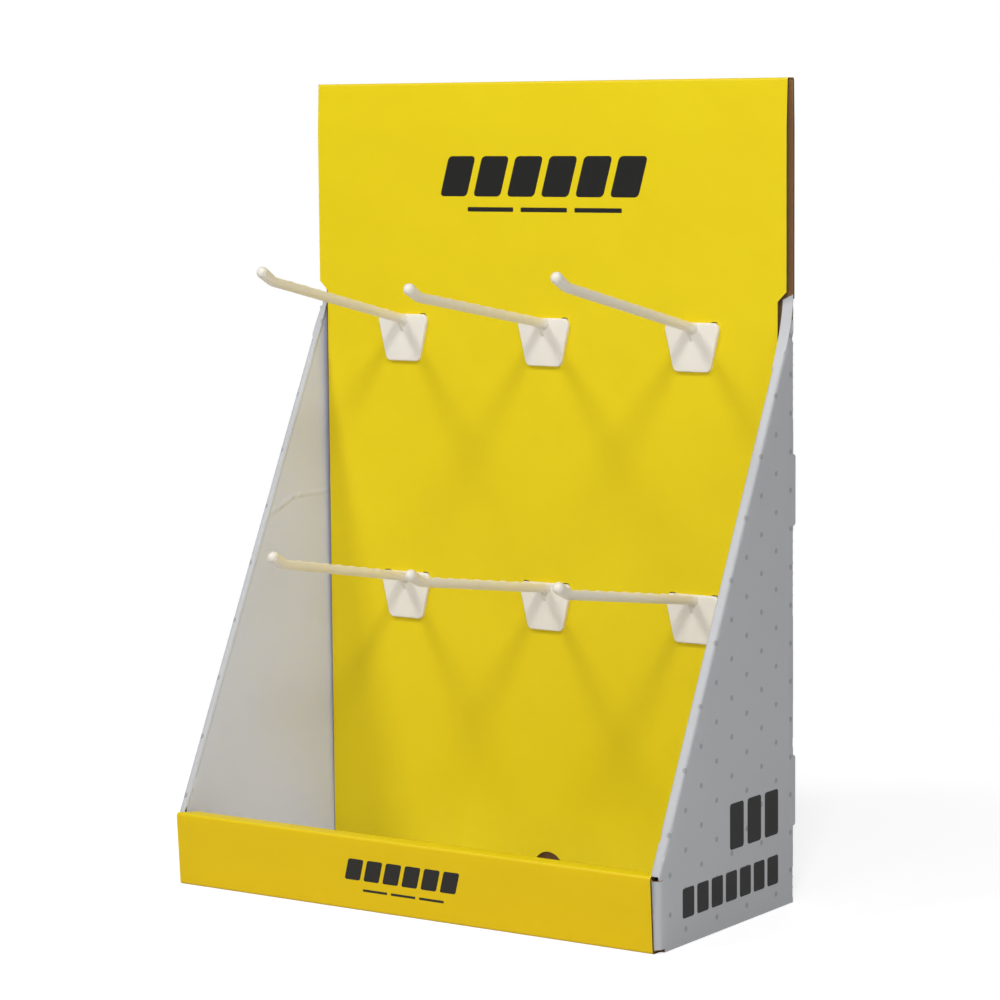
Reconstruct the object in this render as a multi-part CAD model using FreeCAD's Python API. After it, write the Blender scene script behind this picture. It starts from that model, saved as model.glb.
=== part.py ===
import FreeCAD, Part
import math
import os

# Counter display stand: one sheet of corrugated board folded into a tray with
# sloping double sides and a double back panel, and six moulded plastic hooks.
# Sizes are millimetres. X runs to the right, Y to the back and Z up. The origin is
# under the middle of the stand, on the surface that it stands on.

Vector = FreeCAD.Vector

# Board
board = 1.5  # thickness of the corrugated board
fold_radius = 1.8  # outer radius of a creased fold
lay_gap = 0.2  # air between two plies that lie on each other
edge_gap = 0.3  # air between a cut edge and the ply beside it

# Tray
stand_width = 320.0  # over the outer faces of the two sides
base_depth = 144.6  # from the foot of the front lip to the back face
lip_height = 41.4
lip_lean = 2.4  # how far the lip's top stands out in front of its foot
lip_depth = 10.9  # the lip's flat top, from front to back
lip_end_inset = 2.7  # the lip's ends inside the sides' outer faces
lip_inner_inset = 10.0  # the ends of the lip's inner wall inside the same faces
lip_tab_width = 40.0
lip_tab_spacing = 140.0

# Sides
side_top_height = 324.8  # where a side's sloping edge meets the back face
side_run = 141.7  # how far that edge comes forward as it drops to the lip's height
side_top_left = 4.6  # flat top of the left side's double wall
side_top_right = 6.0  # flat top of the right side's double wall
side_foot = 7.4  # thickness of a double wall at the foot of the back
side_front_radius = 4.0  # where a side turns the front corner behind the lip
side_flap_length = 55.0
side_flap_height = 38.2
side_foot_gap = 2.0  # the front flap's lower edge over the surface
side_corner_trim = 30.0  # cut off the inner wall's lower front corner, where the sheet gives the flap
side_tab_height = 39.0
side_tab_middles = (62.5, 228.5)  # heights of the middles of the tabs in the back
side_tab_stand_out = 1.2
side_floor_tab_width = 40.0

# Back and header
header_height = 451.4
header_inset = 2.4  # the front panel's edges above the shoulders, inside the sides' outer faces
shoulder_rise = 11.5  # the shoulders over the top of the sides' sloping edges
shoulder_drop = 5.5
relief_depth = 4.8  # of the relief cut in the back ply, between the left side's top and the shoulder
panel_gap = 0.5  # between the front panel and the foot of a side's inner wall
back_thickness = 4.8  # over both plies, below the header's bend
header_top_thickness = 3.0  # over both plies, at the top fold
header_bend = 27.0  # below the top the plies spread over this height
header_bend_radius = 60.0
header_back_lean = 0.6  # the back ply leans forward this much over that height

# Openings in the front panel
cut_offset = 1.0  # the slots and the notch sit this far right of the middle
notch_radius = 10.0
notch_rise = 0.8  # the notch's centre over the surface
slot_width = 4.4
slot_height = 6.5
slot_corner = 1.0
slot_spacing = 27.2  # between the two slots of one hook
slot_over_plate = 0.5  # a slot's top over the top of its hook's plate

# Hooks
hook_margin = 54.3  # from the front panel's edge to the middle of the nearest hooks
upper_row = 318.3  # height of the top of the upper hooks' plates
lower_row = 167.2
plate_top_width = 36.2
plate_foot_width = 23.2
plate_height = 27.3
plate_thickness = 2.0
plate_corner = 3.6
plate_rim = 0.7
rod_radius = 2.85
rod_length = 124.0  # from the plate to the bend
rod_drop = 2.8  # the rod's middle below the plate's top
rod_flat = 2.45  # the rod's flat top over its middle
bump_count = 8
bump_pitch = 13.0
bump_first = 17.0  # the first bump's distance from the plate
bump_radius = 1.0
bump_length = 3.4
bump_sink = 0.45  # the bump's middle below the rod's flat top
tip_length = 10.0
tip_rise = 18.0  # degrees, over the rod
tip_radius = 3.3
gusset_height = 4.6
gusset_reach = 5.0
gusset_thickness = 1.6
tongue_width = 3.4
tongue_neck = 5.6
tongue_drop = 4.0  # how far a tongue reaches down behind the front panel
# Name, column, row height, rise and sideways swing of the rod in degrees. The
# plastic rods aren't all straight: two of the upper ones stand higher.
hooks = (
    ("hook_upper_left", -1, upper_row, 12.6, -0.3),
    ("hook_upper_middle", 0, upper_row, 9.5, 0.7),
    ("hook_upper_right", 1, upper_row, 12.9, -1.5),
    ("hook_lower_left", -1, lower_row, 9.9, 2.0),
    ("hook_lower_middle", 0, lower_row, 8.3, 0.3),
    ("hook_lower_right", 1, lower_row, 8.2, -0.9),
)

# Places that follow from the sizes
half_width = stand_width / 2
lip_half_width = half_width - lip_end_inset
lip_inner_half_width = half_width - lip_inner_inset
header_half_width = half_width - header_inset
panel_half_width = half_width - side_foot - panel_gap
shoulder_height = side_top_height + shoulder_rise
hook_pitch = panel_half_width - hook_margin
total_depth = base_depth + lip_lean + side_tab_stand_out
back_y = total_depth / 2 - side_tab_stand_out
lip_foot_y = back_y - base_depth
lip_top_y = lip_foot_y - lip_lean
lip_inner_y = lip_top_y + lip_depth
inside_back_y = back_y - board
panel_y = back_y - back_thickness
panel_back_y = panel_y + board
floor_top = board + lay_gap
slope = side_run / (side_top_height - lip_height)
slope_angle = math.atan(slope)
side_reach = slope * side_top_height * math.cos(slope_angle)  # from the sloping edge to the back's foot
flap_y = lip_foot_y + board + lay_gap
side_inner_front_y = lip_inner_y - 2 * board
cutter = 2 * stand_width  # long enough to pass through everything


def slope_y(height):
    """Y of a side's sloping edge at a height."""
    return back_y - slope * (side_top_height - height)


def unit(dx, dy):
    length = math.hypot(dx, dy)
    return dx / length, dy / length


def offset_line(points, distance):
    """The line through points, moved to its left by distance, with mitred corners."""
    moved = []
    for i, (px, py) in enumerate(points):
        before = points[i - 1] if i > 0 else None
        after = points[i + 1] if i + 1 < len(points) else None
        ways = []
        if before:
            ways.append(unit(px - before[0], py - before[1]))
        if after:
            ways.append(unit(after[0] - px, after[1] - py))
        nx = -sum(way[1] for way in ways)
        ny = sum(way[0] for way in ways)
        nx, ny = unit(nx, ny)
        reach = distance / (-ways[0][1] * nx + ways[0][0] * ny)
        moved.append((px + nx * reach, py + ny * reach))
    return moved


def rounded_wire(points, radii, place):
    """A closed wire through flat points, with its corners rounded by radii.

    place turns a flat point into a vector in space.
    """
    ends = []
    for i, (px, py) in enumerate(points):
        ax, ay = points[i - 1]
        bx, by = points[(i + 1) % len(points)]
        u = unit(ax - px, ay - py)
        w = unit(bx - px, by - py)
        radius = radii[i]
        if radius <= 0:
            ends.append(((px, py), None, (px, py)))
            continue
        half = math.acos(u[0] * w[0] + u[1] * w[1]) / 2
        run = radius / math.tan(half)
        m = unit(u[0] + w[0], u[1] + w[1])
        reach = radius / math.sin(half) - radius
        start = (px + u[0] * run, py + u[1] * run)
        middle = (px + m[0] * reach, py + m[1] * reach)
        end = (px + w[0] * run, py + w[1] * run)
        ends.append((start, middle, end))
    edges = []
    for i, (start, middle, end) in enumerate(ends):
        previous = ends[i - 1][2]
        if math.dist(previous, start) > 1e-6:
            edges.append(Part.LineSegment(place(previous), place(start)).toShape())
        if middle:
            edges.append(Part.Arc(place(start), place(middle), place(end)).toShape())
    return Part.Wire(edges)


def prism_x(points, low, high, radii=None):
    """A solid with a (y, z) outline, from x = low to x = high."""
    radii = radii or [0] * len(points)
    wire = rounded_wire(points, radii, lambda p: Vector(low, p[0], p[1]))
    return Part.Face(wire).extrude(Vector(high - low, 0, 0))


def prism_y(points, low, high, radii=None):
    """A solid with an (x, z) outline, from y = low to y = high."""
    radii = radii or [0] * len(points)
    wire = rounded_wire(points, radii, lambda p: Vector(p[0], low, p[1]))
    return Part.Face(wire).extrude(Vector(0, high - low, 0))


def prism_z(points, low, high, radii=None):
    """A solid with an (x, y) outline, from z = low to z = high."""
    radii = radii or [0] * len(points)
    wire = rounded_wire(points, radii, lambda p: Vector(p[0], p[1], low))
    return Part.Face(wire).extrude(Vector(0, 0, high - low))


def block(x_range, y_range, z_range):
    """A box between two values along each axis."""
    low = Vector(min(x_range), min(y_range), min(z_range))
    return Part.makeBox(
        abs(x_range[1] - x_range[0]), abs(y_range[1] - y_range[0]), abs(z_range[1] - z_range[0]), low
    )


def board_outline(points, side):
    """The closed outline of a board folded along points, with its rounded creases.

    The points run along the printed face, and the board lies on one side of them.
    """
    inner = offset_line(points, side * board)
    creases = len(points) - 2
    outer_radii = [0] + [fold_radius] * creases + [0]
    inner_radii = [0] + [fold_radius - board] * creases + [0]
    return points + inner[::-1], outer_radii + inner_radii


def long_strip():
    """The strip of board that makes the lip, the floor, the back and the front panel."""
    bend_z = header_height - header_bend
    back_top_y = back_y - header_back_lean
    front_top_y = back_top_y - header_top_thickness
    path = [
        (lip_inner_y, floor_top),
        (lip_inner_y, lip_height),
        (lip_top_y, lip_height),
        (lip_foot_y, 0),
        (back_y, 0),
        (back_y, bend_z),
        (back_top_y, header_height),
        (front_top_y, header_height),
        (panel_y, bend_z),
        (panel_y, floor_top),
    ]
    inner = offset_line(path, board)
    tight = fold_radius - board
    top_fold = 0.45 * (back_top_y - front_top_y)
    bend = header_bend_radius
    outer_radii = [0, fold_radius, fold_radius, fold_radius, fold_radius, bend, top_fold, top_fold, bend, 0]
    inner_radii = [0, tight, tight, tight, tight, bend, 0, 0, bend, 0]
    return prism_x(path + inner[::-1], -half_width, half_width, outer_radii + inner_radii[::-1])


def lip_trim(hand):
    """What is cut off the long strip at one end of the lip and of the floor."""
    front = lip_half_width
    rear = lip_inner_half_width
    under_strip = lip_height - 2 * board
    beyond = block(
        (hand * front, hand * cutter), (lip_top_y - board, lip_inner_y - board), (-board, lip_height + board)
    )
    taper = prism_z(
        [
            (hand * front, lip_top_y + board),
            (hand * rear, lip_inner_y),
            (hand * rear, lip_inner_y + board),
            (hand * cutter, lip_inner_y + board),
            (hand * cutter, lip_top_y + board),
        ],
        under_strip,
        lip_height + board,
    )
    inner_wall = block(
        (hand * rear, hand * cutter), (lip_inner_y - board - lay_gap, lip_inner_y + board), (floor_top - lay_gap / 2, lip_height)
    )
    floor_end = block(
        (hand * (half_width - board - edge_gap), hand * cutter),
        (lip_foot_y, inside_back_y - lay_gap),
        (-board, board + lay_gap / 2),
    )
    return [beyond, taper, inner_wall, floor_end]


def panel_trim(hand):
    """What is cut off one edge of the header and of the front panel."""
    wide = header_half_width
    narrow = panel_half_width
    header = block(
        (hand * wide, hand * cutter), (panel_y - board, inside_back_y - board / 2), (shoulder_height, cutter)
    )
    foot = shoulder_height - shoulder_drop
    lower = prism_y(
        [
            (hand * wide, shoulder_height),
            (hand * narrow, foot),
            (hand * narrow, 0),
            (hand * cutter, 0),
            (hand * cutter, shoulder_height),
        ],
        panel_y - board,
        panel_back_y + lay_gap,
    )
    return [header, lower]


def hook_slot(x, top):
    """One upright slot through the front panel, with rounded corners."""
    half = slot_width / 2
    points = [(x - half, top - slot_height), (x + half, top - slot_height), (x + half, top), (x - half, top)]
    return prism_y(points, panel_y - board, panel_back_y + lay_gap, [slot_corner] * 4)


def panel_cuts():
    """The hooks' slots and the thumb notch at the foot of the front panel."""
    cuts = []
    for _, column, row, _, _ in hooks:
        for hand in (-1, 1):
            x = cut_offset + column * hook_pitch + hand * slot_spacing / 2
            cuts.append(hook_slot(x, row + slot_over_plate))
    depth = (panel_y - board, panel_back_y + lay_gap)
    start = Vector(cut_offset, depth[0], notch_rise)
    notch = Part.makeCylinder(notch_radius, depth[1] - depth[0], start, Vector(0, 1, 0))
    sides = (cut_offset - notch_radius, cut_offset + notch_radius)
    cuts.append(notch.common(block(sides, depth, (floor_top - lay_gap / 2, notch_rise + notch_radius))))
    return cuts


def tab_ranges(grow):
    """Lowest and highest points of the tabs in the back, each grown by an amount."""
    half = side_tab_height / 2 + grow
    return [(middle - half, middle + half) for middle in side_tab_middles]


def inner_face_x(top, y, z):
    """X of a side's inner face at a place, as far from the sloping edge as it is."""
    depth = (y - slope_y(z)) * math.cos(slope_angle)
    return half_width - top - (side_foot - top) * depth / side_reach


def lock_cuts(hand, top):
    """The openings in the back and in the floor that take one side's tabs."""
    outer = half_width + board
    cuts = []
    for low, high in tab_ranges(edge_gap):
        inner = inner_face_x(top, back_y, low) - edge_gap
        cuts.append(block((hand * inner, hand * outer), (inside_back_y - lay_gap, back_y + board), (low, high)))
    half = side_floor_tab_width / 2 + edge_gap
    inner = inner_face_x(top, half, 0) - edge_gap
    outer = inner_face_x(top, -half, floor_top) + board + edge_gap
    cuts.append(block((hand * inner, hand * outer), (-half, half), (-board, floor_top)))
    return cuts


def lip_locks():
    """The lip's two tabs, and the openings in the floor that take them."""
    tabs = []
    slots = []
    for hand in (-1, 1):
        middle = hand * lip_tab_spacing / 2
        half = lip_tab_width / 2
        tabs.append(
            block((middle - half, middle + half), (lip_inner_y - board, lip_inner_y), (0, floor_top + board))
        )
        slots.append(
            block(
                (middle - half - edge_gap, middle + half + edge_gap),
                (lip_inner_y - board - edge_gap, lip_inner_y + edge_gap),
                (-board, floor_top - lay_gap / 2),
            )
        )
    return tabs, slots


def side_channel(hand, top):
    """One side's outer wall, flat top and inner wall, before they are cut to shape."""
    path = [
        (hand * half_width, side_reach),
        (hand * half_width, 0),
        (hand * (half_width - top), 0),
        (hand * (half_width - side_foot), side_reach),
    ]
    points, radii = board_outline(path, -hand)
    start_z = -board
    along = Vector(0, math.sin(slope_angle), math.cos(slope_angle))
    down = Vector(0, math.cos(slope_angle), -math.sin(slope_angle))
    base = Vector(0, slope_y(start_z), start_z)
    wire = rounded_wire(points, radii, lambda p: base + Vector(p[0], 0, 0) + down * p[1])
    length = (side_top_height + 2 * board + side_foot) / math.cos(slope_angle)
    return Part.Face(wire).extrude(along * length)


def outer_wall_limit(hand):
    """The space that one side's outer wall fills, with its tongues at the back."""
    front = flap_y + side_front_radius + board
    points = [(front, 0), (back_y, 0)]
    for low, high in tab_ranges(0):
        points.append((back_y, low))
        points.append((back_y + side_tab_stand_out, low + side_tab_stand_out))
        points.append((back_y + side_tab_stand_out, high - side_tab_stand_out))
        points.append((back_y, high))
    nose = slope_y(side_flap_height) + board
    points += [
        (back_y, header_height),
        (nose, header_height),
        (nose, side_flap_height),
        (front, side_flap_height),
    ]
    return prism_x(points, hand * (half_width - board - lay_gap / 2), hand * (half_width + board))


def inner_wall_limit(hand):
    """The space that one side's inner wall and flat top fill, with the tabs."""
    half = side_floor_tab_width / 2
    tab_end = back_y
    points = [
        (side_inner_front_y, floor_top + side_corner_trim),
        (side_inner_front_y + side_corner_trim, floor_top),
        (-half, floor_top),
        (-half, 0),
        (half, 0),
        (half, floor_top),
        (inside_back_y - lay_gap, floor_top),
    ]
    for low, high in tab_ranges(0):
        points.append((inside_back_y - lay_gap, low))
        points.append((tab_end, low))
        points.append((tab_end, high))
        points.append((inside_back_y - lay_gap, high))
    points += [
        (inside_back_y - lay_gap, header_height),
        (slope_y(side_flap_height) + 2 * board, header_height),
        (slope_y(side_flap_height) + 2 * board, side_flap_height),
        (side_inner_front_y, side_flap_height),
    ]
    inner = half_width - 2 * side_foot
    return prism_x(points, hand * inner, hand * (half_width - board))


def front_corner(hand):
    """Where one side turns the front corner and runs behind the lip as a flap."""
    overlap = flap_y + side_front_radius + 2 * board
    path = [
        (hand * half_width, overlap),
        (hand * half_width, flap_y),
        (hand * (half_width - side_flap_length), flap_y),
    ]
    inner = offset_line(path, -hand * board)
    radii = [0, side_front_radius, 0, 0, side_front_radius - board, 0]
    return prism_z(path + inner[::-1], side_foot_gap, side_flap_height, radii)


def faceted(corners, faces):
    """A solid with flat faces, each named by the letters of its corners in turn."""
    flats = []
    for face in faces:
        loop = [corners[letter] for letter in face]
        flats.append(Part.Face(Part.makePolygon(loop + loop[:1])))
    solid = Part.Solid(Part.Shell(flats))
    if solid.Volume < 0:
        solid.reverse()
    return solid


def side_nose(hand, top):
    """The end of one side's flat top, squeezed up between the back and the panel.

    Its inner edge curves up steeper than its outer edge, which stays straight.
    """
    front = panel_y - board
    rear = inside_back_y - lay_gap
    behind = panel_back_y + lay_gap
    skin = board / 4  # how deep the nose starts below the flat top
    front_z = side_top_height - (back_y - front) / slope - skin
    rear_z = side_top_height - (back_y - rear) / slope - skin
    inner = hand * (half_width - top + board / 4)
    outer = hand * (half_width - fold_radius - edge_gap)
    corners = {
        "a": Vector(inner, front, front_z),
        "b": Vector(inner, behind, shoulder_height - shoulder_drop),
        "c": Vector(inner, behind + board / 4, shoulder_height),
        "d": Vector(inner, rear, shoulder_height),
        "e": Vector(inner, rear, rear_z - board),
        "f": Vector(inner, front, front_z - board),
        "g": Vector(outer, front, front_z),
        "h": Vector(outer, rear, rear_z),
        "i": Vector(outer, rear, rear_z - board),
        "j": Vector(outer, front, front_z - board),
    }
    return faceted(corners, ("abg", "bhg", "bch", "cdh", "abcdef", "ghij", "dhie", "agjf", "feij"))


def back_corner_rounding(hand):
    """What is cut off the square corner between one side and the back."""
    x = half_width - fold_radius
    y = back_y - fold_radius
    tools = []
    ends = [0]
    for low, high in tab_ranges(0):
        ends += [low, high]
    ends.append(side_top_height)
    for low, high in zip(ends[0::2], ends[1::2]):
        corner = block((hand * x, hand * (half_width + board)), (y, back_y + board), (low, high))
        round_part = Part.makeCylinder(fold_radius, high - low, Vector(hand * x, y, low))
        tools.append(corner.cut(round_part))
    return tools


def back_relief():
    """What is cut off the back ply between the top of the left side and the shoulder."""
    inner = relief_depth - half_width
    outer = -half_width - board
    points = [
        (inner, side_top_height),
        (outer, side_top_height),
        (outer, shoulder_height),
        (-half_width, shoulder_height),
        (inner, shoulder_height - shoulder_drop),
    ]
    return prism_y(points, inside_back_y - lay_gap / 2, back_y + board)


def side(hand, top):
    """One whole side: outer wall, flat top, inner wall, front flap and tabs."""
    channel = side_channel(hand, top)
    outer = channel.common(outer_wall_limit(hand))
    inner = channel.common(inner_wall_limit(hand))
    return outer.fuse([inner, front_corner(hand), side_nose(hand, top)])


def folded_stand():
    """The whole folded sheet as one solid."""
    tabs, slots = lip_locks()
    cuts = panel_cuts() + slots + [back_relief()]
    sides = []
    for hand, top in ((-1, side_top_left), (1, side_top_right)):
        cuts += lip_trim(hand) + panel_trim(hand) + lock_cuts(hand, top)
        sides.append(side(hand, top))
    strip = long_strip().cut(cuts)
    sheet = strip.fuse(tabs + sides)
    roundings = back_corner_rounding(-1) + back_corner_rounding(1)
    return sheet.cut(roundings).removeSplitter()


def hook_plate(x, top):
    """The plate that rests on the front panel, a tapering shield with a rounded rim."""
    wide = plate_top_width / 2
    narrow = plate_foot_width / 2
    foot = top - plate_height
    points = [(x - narrow, foot), (x + narrow, foot), (x + wide, top), (x - wide, top)]
    front = panel_y - plate_thickness
    plate = prism_y(points, front, panel_y, [plate_corner] * 4)
    rim = []
    for edge in plate.Edges:
        on_front = all(abs(vertex.Point.y - front) < 1e-6 for vertex in edge.Vertexes)
        if on_front:
            rim.append(edge)
    return plate.makeFillet(plate_rim, rim)


def hook_rod(x, top, rise, swing):
    """The rod with its flat top, its bumps, its bent tip and its round end."""
    root = Vector(x, panel_y - plate_thickness, top - rod_drop)
    forward = Vector(0, -1, 0)
    sunk = plate_thickness / 2  # how deep the rod starts in the plate
    rod_end = root + forward * rod_length
    rod = Part.makeCylinder(rod_radius, rod_length + sunk, root - forward * sunk, forward)
    flat_top = root.z + rod_flat
    rod = rod.cut(
        block(
            (x - 2 * rod_radius, x + 2 * rod_radius),
            (rod_end.y, root.y + plate_thickness),
            (flat_top, flat_top + 2 * rod_radius),
        )
    )
    bumps = []
    for i in range(bump_count):
        y = root.y - bump_first - i * bump_pitch
        start = Vector(x - bump_length / 2, y, flat_top - bump_sink)
        bumps.append(Part.makeCylinder(bump_radius, bump_length, start, Vector(1, 0, 0)))
    angle = math.radians(tip_rise)
    tip_way = Vector(0, -math.cos(angle), math.sin(angle))
    tip = Part.makeCone(rod_radius, tip_radius, tip_length, rod_end, tip_way)
    elbow = Part.makeSphere(rod_radius, rod_end)
    end = Part.makeSphere(tip_radius, rod_end + tip_way * tip_length)
    gusset = prism_x(
        [
            (root.y + sunk, root.z),
            (root.y - gusset_reach, root.z),
            (root.y, root.z - rod_radius - gusset_height),
            (root.y + sunk, root.z - rod_radius - gusset_height),
        ],
        x - gusset_thickness / 2,
        x + gusset_thickness / 2,
    )
    whole = rod.fuse(bumps + [elbow, tip, end])
    whole.rotate(root, Vector(1, 0, 0), -rise)
    whole.rotate(root, Vector(0, 0, 1), swing)
    return whole.fuse(gusset)


def hook_tongue(x, top):
    """One tongue through a slot, turned down behind the front panel."""
    slot_foot = top + slot_over_plate - slot_height
    low = slot_foot + edge_gap
    high = low + tongue_neck
    half = tongue_width / 2
    behind = panel_back_y + lay_gap
    rear = inside_back_y - lay_gap
    points = [
        (panel_y - plate_thickness / 2, low),
        (behind, low),
        (behind, low - tongue_drop),
        (rear, low - tongue_drop),
        (rear, high),
        (panel_y - plate_thickness / 2, high),
    ]
    return prism_x(points, x - half, x + half)


def hook(column, row, rise, swing):
    """One hook as a single moulding."""
    x = cut_offset + column * hook_pitch
    body = hook_plate(x, row)
    tongues = [hook_tongue(x + hand * slot_spacing / 2, row) for hand in (-1, 1)]
    return body.fuse([hook_rod(x, row, rise, swing)] + tongues)


def save(name, shape):
    """Check that a node is one sound solid, and write its STEP file."""
    if len(shape.Solids) != 1 or not shape.isValid():
        raise ValueError(name + " isn't one sound solid")
    shape.Solids[0].exportStep(os.path.join("parts", name + ".step"))
    box = shape.BoundBox
    print(name, round(shape.Volume), "mm3", [round(v, 2) for v in (box.XMin, box.YMin, box.ZMin)],
          [round(v, 2) for v in (box.XMax, box.YMax, box.ZMax)])


os.makedirs("parts", exist_ok=True)
save("folded_stand", folded_stand())
for hook_name, column, row, rise, swing in hooks:
    save(hook_name, hook(column, row, rise, swing))
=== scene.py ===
"""A folded corrugated counter stand with six moulded peg hooks, dressed for rendering.

The board is built as flat nets, cut out with real openings, which are then folded: a point of a
net has two flat coordinates in millimetres and a depth through the board, and a fold turns them
into a place in space. The hooks are profiles carried along bent lines.
"""
import logging
import math
from dataclasses import dataclass
from enum import Enum
from typing import Callable, Protocol, Sequence

import bpy
import numpy as np
from mathutils import Matrix, Vector
from mathutils.geometry import delaunay_2d_cdt


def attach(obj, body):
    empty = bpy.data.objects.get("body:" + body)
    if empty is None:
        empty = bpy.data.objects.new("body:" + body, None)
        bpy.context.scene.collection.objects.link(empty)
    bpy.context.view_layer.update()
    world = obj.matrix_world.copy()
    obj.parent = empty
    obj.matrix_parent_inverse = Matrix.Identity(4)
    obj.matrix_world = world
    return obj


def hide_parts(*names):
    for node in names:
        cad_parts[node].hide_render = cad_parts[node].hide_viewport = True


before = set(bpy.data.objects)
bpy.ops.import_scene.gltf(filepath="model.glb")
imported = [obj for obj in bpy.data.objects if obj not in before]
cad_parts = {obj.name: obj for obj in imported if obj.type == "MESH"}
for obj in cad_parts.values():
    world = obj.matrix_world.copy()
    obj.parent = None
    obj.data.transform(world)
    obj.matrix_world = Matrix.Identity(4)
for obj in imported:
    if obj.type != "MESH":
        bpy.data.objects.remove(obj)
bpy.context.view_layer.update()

log = logging.getLogger("stand")

MM = 0.001
BODY = "root"
BOARD_NODE = "folded_stand"
TINY = 1e-12  # keeps a length from being nought where it divides
ON_LINE = 1e-3  # a point this near a bend counts as on it, because the triangulation rounds

Point = tuple[float, float]


@dataclass(frozen=True)
class StandSizes:
    """The stand's real sizes in millimetres, in the frame's axes."""

    board: float = 1.5
    fold: float = 1.8
    lay_gap: float = 0.2
    edge_gap: float = 0.3
    half_width: float = 160.0
    lip_foot_y: float = -71.7
    lip_top_y: float = -74.1
    lip_inner_y: float = -63.2
    lip_height: float = 41.4
    lip_half: float = 157.3
    lip_inner_half: float = 150.0
    lip_tab_x: float = 70.0
    lip_tab_half: float = 20.0
    back_y: float = 72.9
    back_top_y: float = 72.3
    front_top_y: float = 69.3
    panel_y: float = 68.1
    header_height: float = 451.4
    header_bend_z: float = 424.4
    header_bend_radius: float = 60.0
    top_fold: float = 1.5
    header_half: float = 157.6
    shoulder_z: float = 336.3
    shoulder_drop: float = 5.5
    panel_half: float = 152.1
    side_top_z: float = 324.8
    back_top_right: float = 159.9
    back_top_left: float = 158.7
    back_relief_half: float = 155.2
    corner_top_z: float = 332.5
    slope: float = 0.5
    side_reach: float = 145.2
    side_foot: float = 7.4
    side_tab_half: float = 20.0
    side_slot_inset: float = 6.6
    side_slot_half: float = 1.3
    tongues: tuple[tuple[float, float], ...] = ((43.0, 82.0), (209.0, 248.0))
    tongue_out: float = 1.2
    slot_half: float = 2.2
    slot_corner: float = 1.0
    slot_height: float = 6.5
    slot_spread: float = 13.6
    slot_over_plate: float = 0.5
    notch_radius: float = 10.0
    notch_rise: float = 0.8
    cut_corner: float = 0.3
    cut_offset: float = 1.0
    hook_pitch: float = 97.8
    upper_row: float = 318.3
    lower_row: float = 167.2

    @property
    def floor_top(self) -> float:
        """Height of a cut edge that stands on the floor of the tray."""
        return self.board + self.lay_gap

    @property
    def inside_back_y(self) -> float:
        """Y of the back ply's inner face."""
        return self.back_y - self.board

    @property
    def corner_x(self) -> float:
        """X where the rounding between a side and the back ends on the back."""
        return self.half_width - self.fold

    def slope_y(self, z: float) -> float:
        """Y of a side's sloping edge at height z."""
        return self.back_y - self.slope * (self.side_top_z - z)

    def slope_z(self, y: float) -> float:
        """Height of a side's sloping edge at Y."""
        return self.side_top_z - (self.back_y - y) / self.slope


SIZES = StandSizes()


# Colours and material nodes


def srgb(hex_colour: str) -> tuple[float, float, float, float]:
    """Linear colour of an sRGB hex value.

    Args:
        hex_colour: six hex digits.

    Returns:
        Red, green, blue and full opacity, as Blender wants them.
    """
    values = [int(hex_colour[i : i + 2], 16) / 255 for i in (0, 2, 4)]
    linear = [v / 12.92 if v <= 0.04045 else ((v + 0.055) / 1.055) ** 2.4 for v in values]
    return (*linear, 1.0)


def add_node(
    tree: bpy.types.NodeTree, kind: str, *values: object, out: int | str = 0, **named: object
) -> bpy.types.NodeSocket:
    """Adds a node with its settings, values and links.

    Args:
        tree: the node tree.
        kind: the node's type name after "ShaderNode".
        values: what its first inputs get, in order: a value or an output socket to link.
        out: the wanted output, by number or name.
        named: a name with a capital is an input's, with underscores for spaces, and any other
            is a setting's.

    Returns:
        The wanted output socket.
    """
    node = tree.nodes.new("ShaderNode" + kind)
    for name, value in named.items():
        if name[0].islower():
            setattr(node, name, value)
    sockets = {socket.identifier.replace(" ", "_"): socket for socket in node.inputs}
    given = list(zip(node.inputs, values))
    given += [(sockets[name], value) for name, value in named.items() if name[0].isupper()]
    for socket, value in given:
        if isinstance(value, bpy.types.NodeSocket):
            tree.links.new(value, socket)
        else:
            socket.default_value = value
    return node.outputs[out]


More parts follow.
